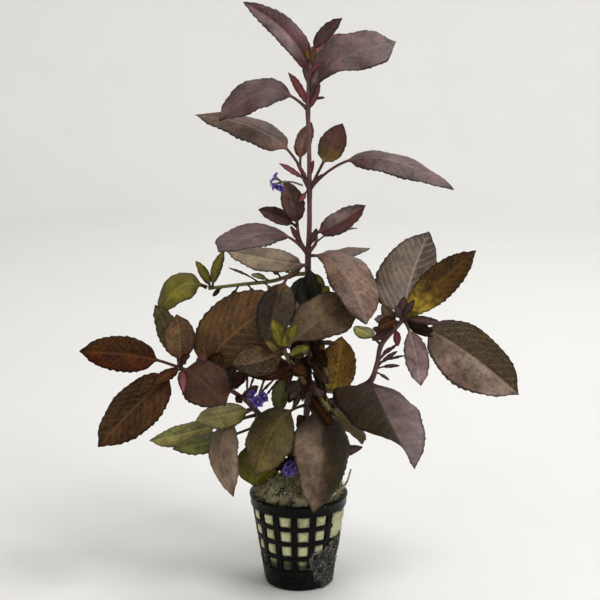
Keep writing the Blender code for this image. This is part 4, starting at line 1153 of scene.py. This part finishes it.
def frame_windows(shape, on_rib, outer_low, outer_high, inner_low, inner_high):
    """The four inner sides of each window in one row, between the wall's outer and inner rings."""
    for side in range(len(on_rib)):
        if on_rib[side]:
            continue
        after = (side + 1) % len(on_rib)
        shape.faces.new((outer_low[side], outer_low[after], inner_low[after], inner_low[side]))
        shape.faces.new((outer_high[after], outer_high[side], inner_high[side], inner_high[after]))
        if on_rib[side - 1]:
            shape.faces.new((outer_low[side], inner_low[side], inner_high[side], outer_high[side]))
        if on_rib[after]:
            shape.faces.new((outer_low[after], outer_high[after], inner_high[after], inner_low[after]))


def make_pot():
    """The basket: a grid of ribs and bars with rounded edges under a rolled rim."""
    heights = [POT_FLOOR]
    for foot in window_rows():
        heights += [foot, foot + WINDOW_HEIGHT]
    angles, on_rib = pot_angles()
    foot_edge = [(pot_radius(0) - 0.9, 0), (pot_radius(0), 0.7)]
    outside = [(pot_radius(z), z) for z in heights]
    inside = [(pot_radius(z) - POT_WALL, z) for z in reversed(heights)]
    profile = [*foot_edge, *outside, *RIM_PROFILE, *inside, (0.5, POT_FLOOR)]
    outer_first = len(foot_edge)
    inner_last = len(profile) - 2
    window_levels = range(1, len(heights) - 1, 2)
    open_rings = {outer_first + level for level in window_levels}
    open_rings |= {inner_last - level - 1 for level in window_levels}

    shape = bmesh.new()
    rings = [[shape.verts.new((r * cos(a) * MM, r * sin(a) * MM, z * MM)) for a in angles]
             for r, z in profile]
    for ring, (low, high) in enumerate(zip(rings, rings[1:])):
        for side in range(len(angles)):
            if on_rib[side] or ring not in open_rings:
                after = (side + 1) % len(angles)
                shape.faces.new((low[side], low[after], high[after], high[side]))
    shape.faces.new(list(reversed(rings[0])))
    shape.faces.new(rings[-1])
    for level in window_levels:
        frame_windows(shape, on_rib, rings[outer_first + level], rings[outer_first + level + 1],
                      rings[inner_last - level], rings[inner_last - level - 1])
    bmesh.ops.recalc_face_normals(shape, faces=shape.faces)
    sharp = [edge for edge in shape.edges
             if len(edge.link_faces) == 2 and edge.calc_face_angle(0) > radians(50)]
    bmesh.ops.bevel(shape, geom=sharp, offset=POT_BEVEL * MM, segments=2, profile=0.6, affect="EDGES",
                    clamp_overlap=True)
    mesh = bpy.data.meshes.new("basket")
    shape.to_mesh(mesh)
    shape.free()
    mesh.shade_smooth()
    mesh.materials.append(plastic_material())
    stand(add_object("basket", mesh), "net_pot")


# Rockwool

def lumps(points, scale, seed):
    """Smooth lumps from a few sine waves in seeded directions, between about -1 and 1."""
    chance = np.random.default_rng(seed)
    total = np.zeros(len(points))
    for _ in range(7):
        way = unit(chance.normal(0, 1, 3))
        total += np.sin(points @ way * scale * chance.uniform(0.6, 1.6) + chance.uniform(0, 2 * np.pi))
    return total / 3.2


def plug_reach(z):
    return pot_radius(np.minimum(z, RIM_FOOT)) - POT_WALL - PLUG_CLEARANCE


def window_depth(angle, z):
    """How far a place on the wall lies inside a window, from 0 at its frame to 1."""
    across = np.abs((angle + pi / 2 + RIB_TURN + RIB_PITCH / 2) % RIB_PITCH - RIB_PITCH / 2)
    into = smooth(RIB_PITCH / 2 * RIB_SHARE, RIB_PITCH / 2 * (RIB_SHARE + 0.3), across)
    high = np.zeros_like(z)
    for foot in window_rows():
        head = foot + WINDOW_HEIGHT
        high = np.maximum(high, smooth(foot, foot + 1.2, z) * smooth(head, head - 1.2, z))
    return into * high


def add_fibre(shape, start, away, chance, length, thickness, slot, hug=None):
    """A short curled fibre with a three-sided section, held that far off the pot's wall if a hug is given."""
    steps = 5
    way = unit(away)
    bend = chance.normal(0, 0.5, 3)
    places = [np.array(start)]
    for _ in range(steps - 1):
        way = unit(way + bend * 0.45 + chance.normal(0, 0.18, 3))
        places.append(places[-1] + way * length / (steps - 1))
    places = np.array(places)
    if hug is not None:
        places[:, 2] = np.clip(places[:, 2], 0.4, 40)
        from_axis = np.hypot(places[:, 0], places[:, 1])
        places[:, :2] *= ((pot_radius(places[:, 2]) + hug) / from_axis)[:, None]
    radii = np.linspace(thickness, thickness * 0.4, steps)
    tube(shape, places, unit(np.gradient(places, axis=0)), radii, 3, slot)


def plug_rings():
    """The plug's surface as rings of points up its wall and over its top."""
    foot = POT_FLOOR + PLUG_CLEARANCE
    heights = [foot + (POT_HEIGHT - foot) * k / (PLUG_WALL_ROWS - 1) for k in range(PLUG_WALL_ROWS)]
    rows = [(plug_reach(z), z) for z in heights]
    for k in range(1, PLUG_TOP_ROWS):
        turn = pi / 2 * k / PLUG_TOP_ROWS
        rows.append((plug_reach(POT_HEIGHT) * cos(turn), POT_HEIGHT + PLUG_RISE * sin(turn)**0.8))
    radius, z = (np.array(column)[:, None] * np.ones(PLUG_SIDES) for column in zip(*rows))
    wall = (np.arange(len(rows)) < PLUG_WALL_ROWS)[:, None] * 1.0
    angle = np.ones((len(rows), 1)) * 2 * np.pi * np.arange(PLUG_SIDES) / PLUG_SIDES

    points = round_points(radius, angle, z)
    rough = lumps(points, 0.45, 1) * 0.7 + lumps(points, 1.3, 2) * 0.45 + lumps(points, 3.2, 3) * 0.25
    rough = rough.reshape(radius.shape)
    front = (angle + pi / 2 + pi) % (2 * pi) - pi
    press = window_depth(angle, z) * (1.5 + 0.2 * rough)
    right_lump = smooth(0.76, 0.9, front) * smooth(1.5, 1.3, front)
    right_lump = right_lump * smooth(25, 29, z) * smooth(42.0, 40.5, z)
    outward = wall * np.maximum(press, right_lump * (1.95 + 0.3 * rough)) + (1 - wall) * rough * 0.4
    from_heap = (points[:, :2] - HEAP_PLACE) / HEAP_SPREAD
    heap = smooth(POT_HEIGHT - 0.5, POT_HEIGHT + 1.5, z) * HEAP_HEIGHT
    heap = heap * np.exp(-(from_heap**2).sum(axis=1)).reshape(z.shape)
    radius = radius + outward + 0.5 * heap
    z = z + (1 - wall) * rough * 1.9 + heap
    return round_points(radius, angle, z).reshape(len(rows), PLUG_SIDES, 3)


def add_loose_fibres(shape, rings, chance):
    """Fibres that stand off the heaped top and curl out of the windows."""
    for _ in range(TOP_FIBRES):
        row = chance.integers(PLUG_WALL_ROWS - 3, len(rings) - 1)
        place = rings[row, chance.integers(PLUG_SIDES)]
        away = place * np.array((0.5, 0.5, 0)) / 20 + chance.normal(0, 0.8, 3) + np.array((0, 0, 0.5))
        length = chance.uniform(1.5, 4.5)
        add_fibre(shape, place - away * 0.2, away, chance, length, chance.uniform(0.07, 0.16), 1)
    for _ in range(WINDOW_FIBRES):
        place = rings[chance.integers(12, PLUG_WALL_ROWS - 14), chance.integers(PLUG_SIDES)]
        if window_depth(np.arctan2(place[1], place[0]), np.array(place[2])) < 0.4:
            continue
        out = place * np.array((1, 1, 0)) / np.hypot(place[0], place[1])
        away = out * 0.35 + chance.normal(0, 0.6, 3)
        add_fibre(shape, place - out * 0.1, away, chance, chance.uniform(0.9, 2.0), 0.06, 1)


def mat_cover(front, z):
    """How thick the root mat lies at an angle right of the front and a height, from 0 to 1."""
    return (smooth(0.12, 0.5, front - 0.02 * (18 - z)) * smooth(1.5, 1.15, front)
            * smooth(20 + 12 * front, 8 + 12 * front, z) * smooth(0.2, 1.5, z))


def add_root_mat(shape, chance):
    """Fine dark roots and silt that have grown out over the low right windows."""
    across, up = 110, 96
    front = np.linspace(0.05, 1.55, across)[None, :] * np.ones((up, 1))
    z = np.linspace(0.4, 32, up)[:, None] * np.ones((1, across))
    spot = np.stack((30 * front, z, 0 * z), axis=-1).reshape(-1, 3)
    rough = (lumps(spot, 0.8, 11) * 0.5 + lumps(spot, 2.2, 12) * 0.3).reshape(z.shape)
    wide = lumps(spot, 0.55, 13).reshape(z.shape)
    cover = mat_cover(front, z)
    cover = cover + (0.75 * wide + 0.55 * rough) * smooth(0.0, 0.3, cover) * smooth(1.5, 1.3, front)
    radius = pot_radius(z) - 2.5 + 2.8 * smooth(0.35, 0.65, cover) + 0.45 * rough
    sheets = [round_points(radius - inward, front - pi / 2, z) for inward in (0, ROOT_MAT_THICKNESS)]
    shape.add(np.concatenate(sheets), sheet_faces(up, across), 2)
    for _ in range(ROOT_COUNT):
        front, z = chance.uniform(0.1, 1.5), chance.uniform(1, 30)
        if mat_cover(front, z) < chance.uniform(0.15, 0.6):
            continue
        angle = front - pi / 2
        place = np.array((pot_radius(z) * cos(angle), pot_radius(z) * sin(angle), z))
        sideways = np.array((-sin(angle), cos(angle), 0)) * chance.normal(0, 0.8)
        flow = sideways + np.array((0, 0, chance.normal(0, 0.8)))
        length, thickness, hug = chance.uniform(2.0, 5.0), chance.uniform(0.08, 0.2), chance.uniform(0.2, 0.7)
        add_fibre(shape, place, flow, chance, length, thickness, 2, hug)


def make_rockwool():
    """A matted plug that presses out through the windows, with loose fibres, straws and a root mat."""
    chance = np.random.default_rng(5)
    shape = Shape()
    rings = plug_rings()
    crown = rings[-1].mean(axis=0) + np.array((0, 0, 0.2))
    shape.add(np.concatenate((rings.reshape(-1, 3), [crown])), pointed_faces(len(rings), PLUG_SIDES))
    add_loose_fibres(shape, rings, chance)
    add_root_mat(shape, chance)
    for course in STRAWS:
        places, ahead, shares = stem_curve(course, 0.8)
        tube(shape, places, ahead, 0.65 - 0.2 * shares, 8, 1)
    fibre = fibre_material("wool_strand", (206, 200, 172), (136, 128, 84))
    made = shape.build("wool_plug", [wool_material(), fibre, root_material()])
    stand(made, "rockwool")


# Studio

def make_floor():
    """A pale round floor that curves up into a wall all around."""
    shape = Shape()
    wall = FLOOR_RADIUS + FLOOR_CURVE
    line = [(radius, 0.0) for radius in (0.001, 200, 500, 900, FLOOR_RADIUS)]
    line += [(FLOOR_RADIUS + FLOOR_CURVE * sin(radians(a)), FLOOR_CURVE * (1 - cos(radians(a))))
             for a in range(9, 91, 9)]
    line += [(wall, 900), (wall, WALL_HEIGHT)]
    turns = [2 * pi * k / FLOOR_SIDES for k in range(FLOOR_SIDES)]
    rows = [[(radius * cos(turn), radius * sin(turn), z) for turn in turns] for radius, z in line]
    shape.add(np.array(rows), grid_faces(len(rows), FLOOR_SIDES))
    sweep = shape.build("studio_sweep", [paper_material()])


def point_at(thing, place, aim):
    thing.location = place
    thing.rotation_euler = (Vector(aim) - Vector(place)).to_track_quat("-Z", "Y").to_euler()


def make_lights():
    """A pale sky and three soft square lamps."""
    world = bpy.data.worlds.new("studio")
    bpy.context.scene.world = world
    world.use_nodes = True
    sky = world.node_tree.nodes["Background"].inputs
    sky["Color"].default_value = (1, 0.995, 0.985, 1)
    sky["Strength"].default_value = 0.42
    for name, place, aim, size, power in LAMPS:
        lamp = bpy.data.lights.new(name, "AREA")
        lamp.shape = "SQUARE"
        lamp.size = size
        lamp.energy = power
        point_at(add_object(name, lamp), place, aim)


def make_camera():
    """A long lens from a little above, as the plant was photographed."""
    view = bpy.data.cameras.new("camera")
    view.lens = LENS
    view.sensor_width = SENSOR_WIDTH
    camera = add_object("camera", view)
    point_at(camera, CAMERA_PLACE, CAMERA_AIM)
    bpy.context.scene.camera = camera
    bpy.context.scene.view_settings.view_transform = "Standard"


def main():
    looks = {name: leaf_material("leaf_" + name, look) for name, look in LOOKS.items()}
    make_pot()
    make_rockwool()
    make_stems(looks)
    make_leaves(looks)
    make_flowers()
    make_floor()
    make_lights()
    make_camera()


main()
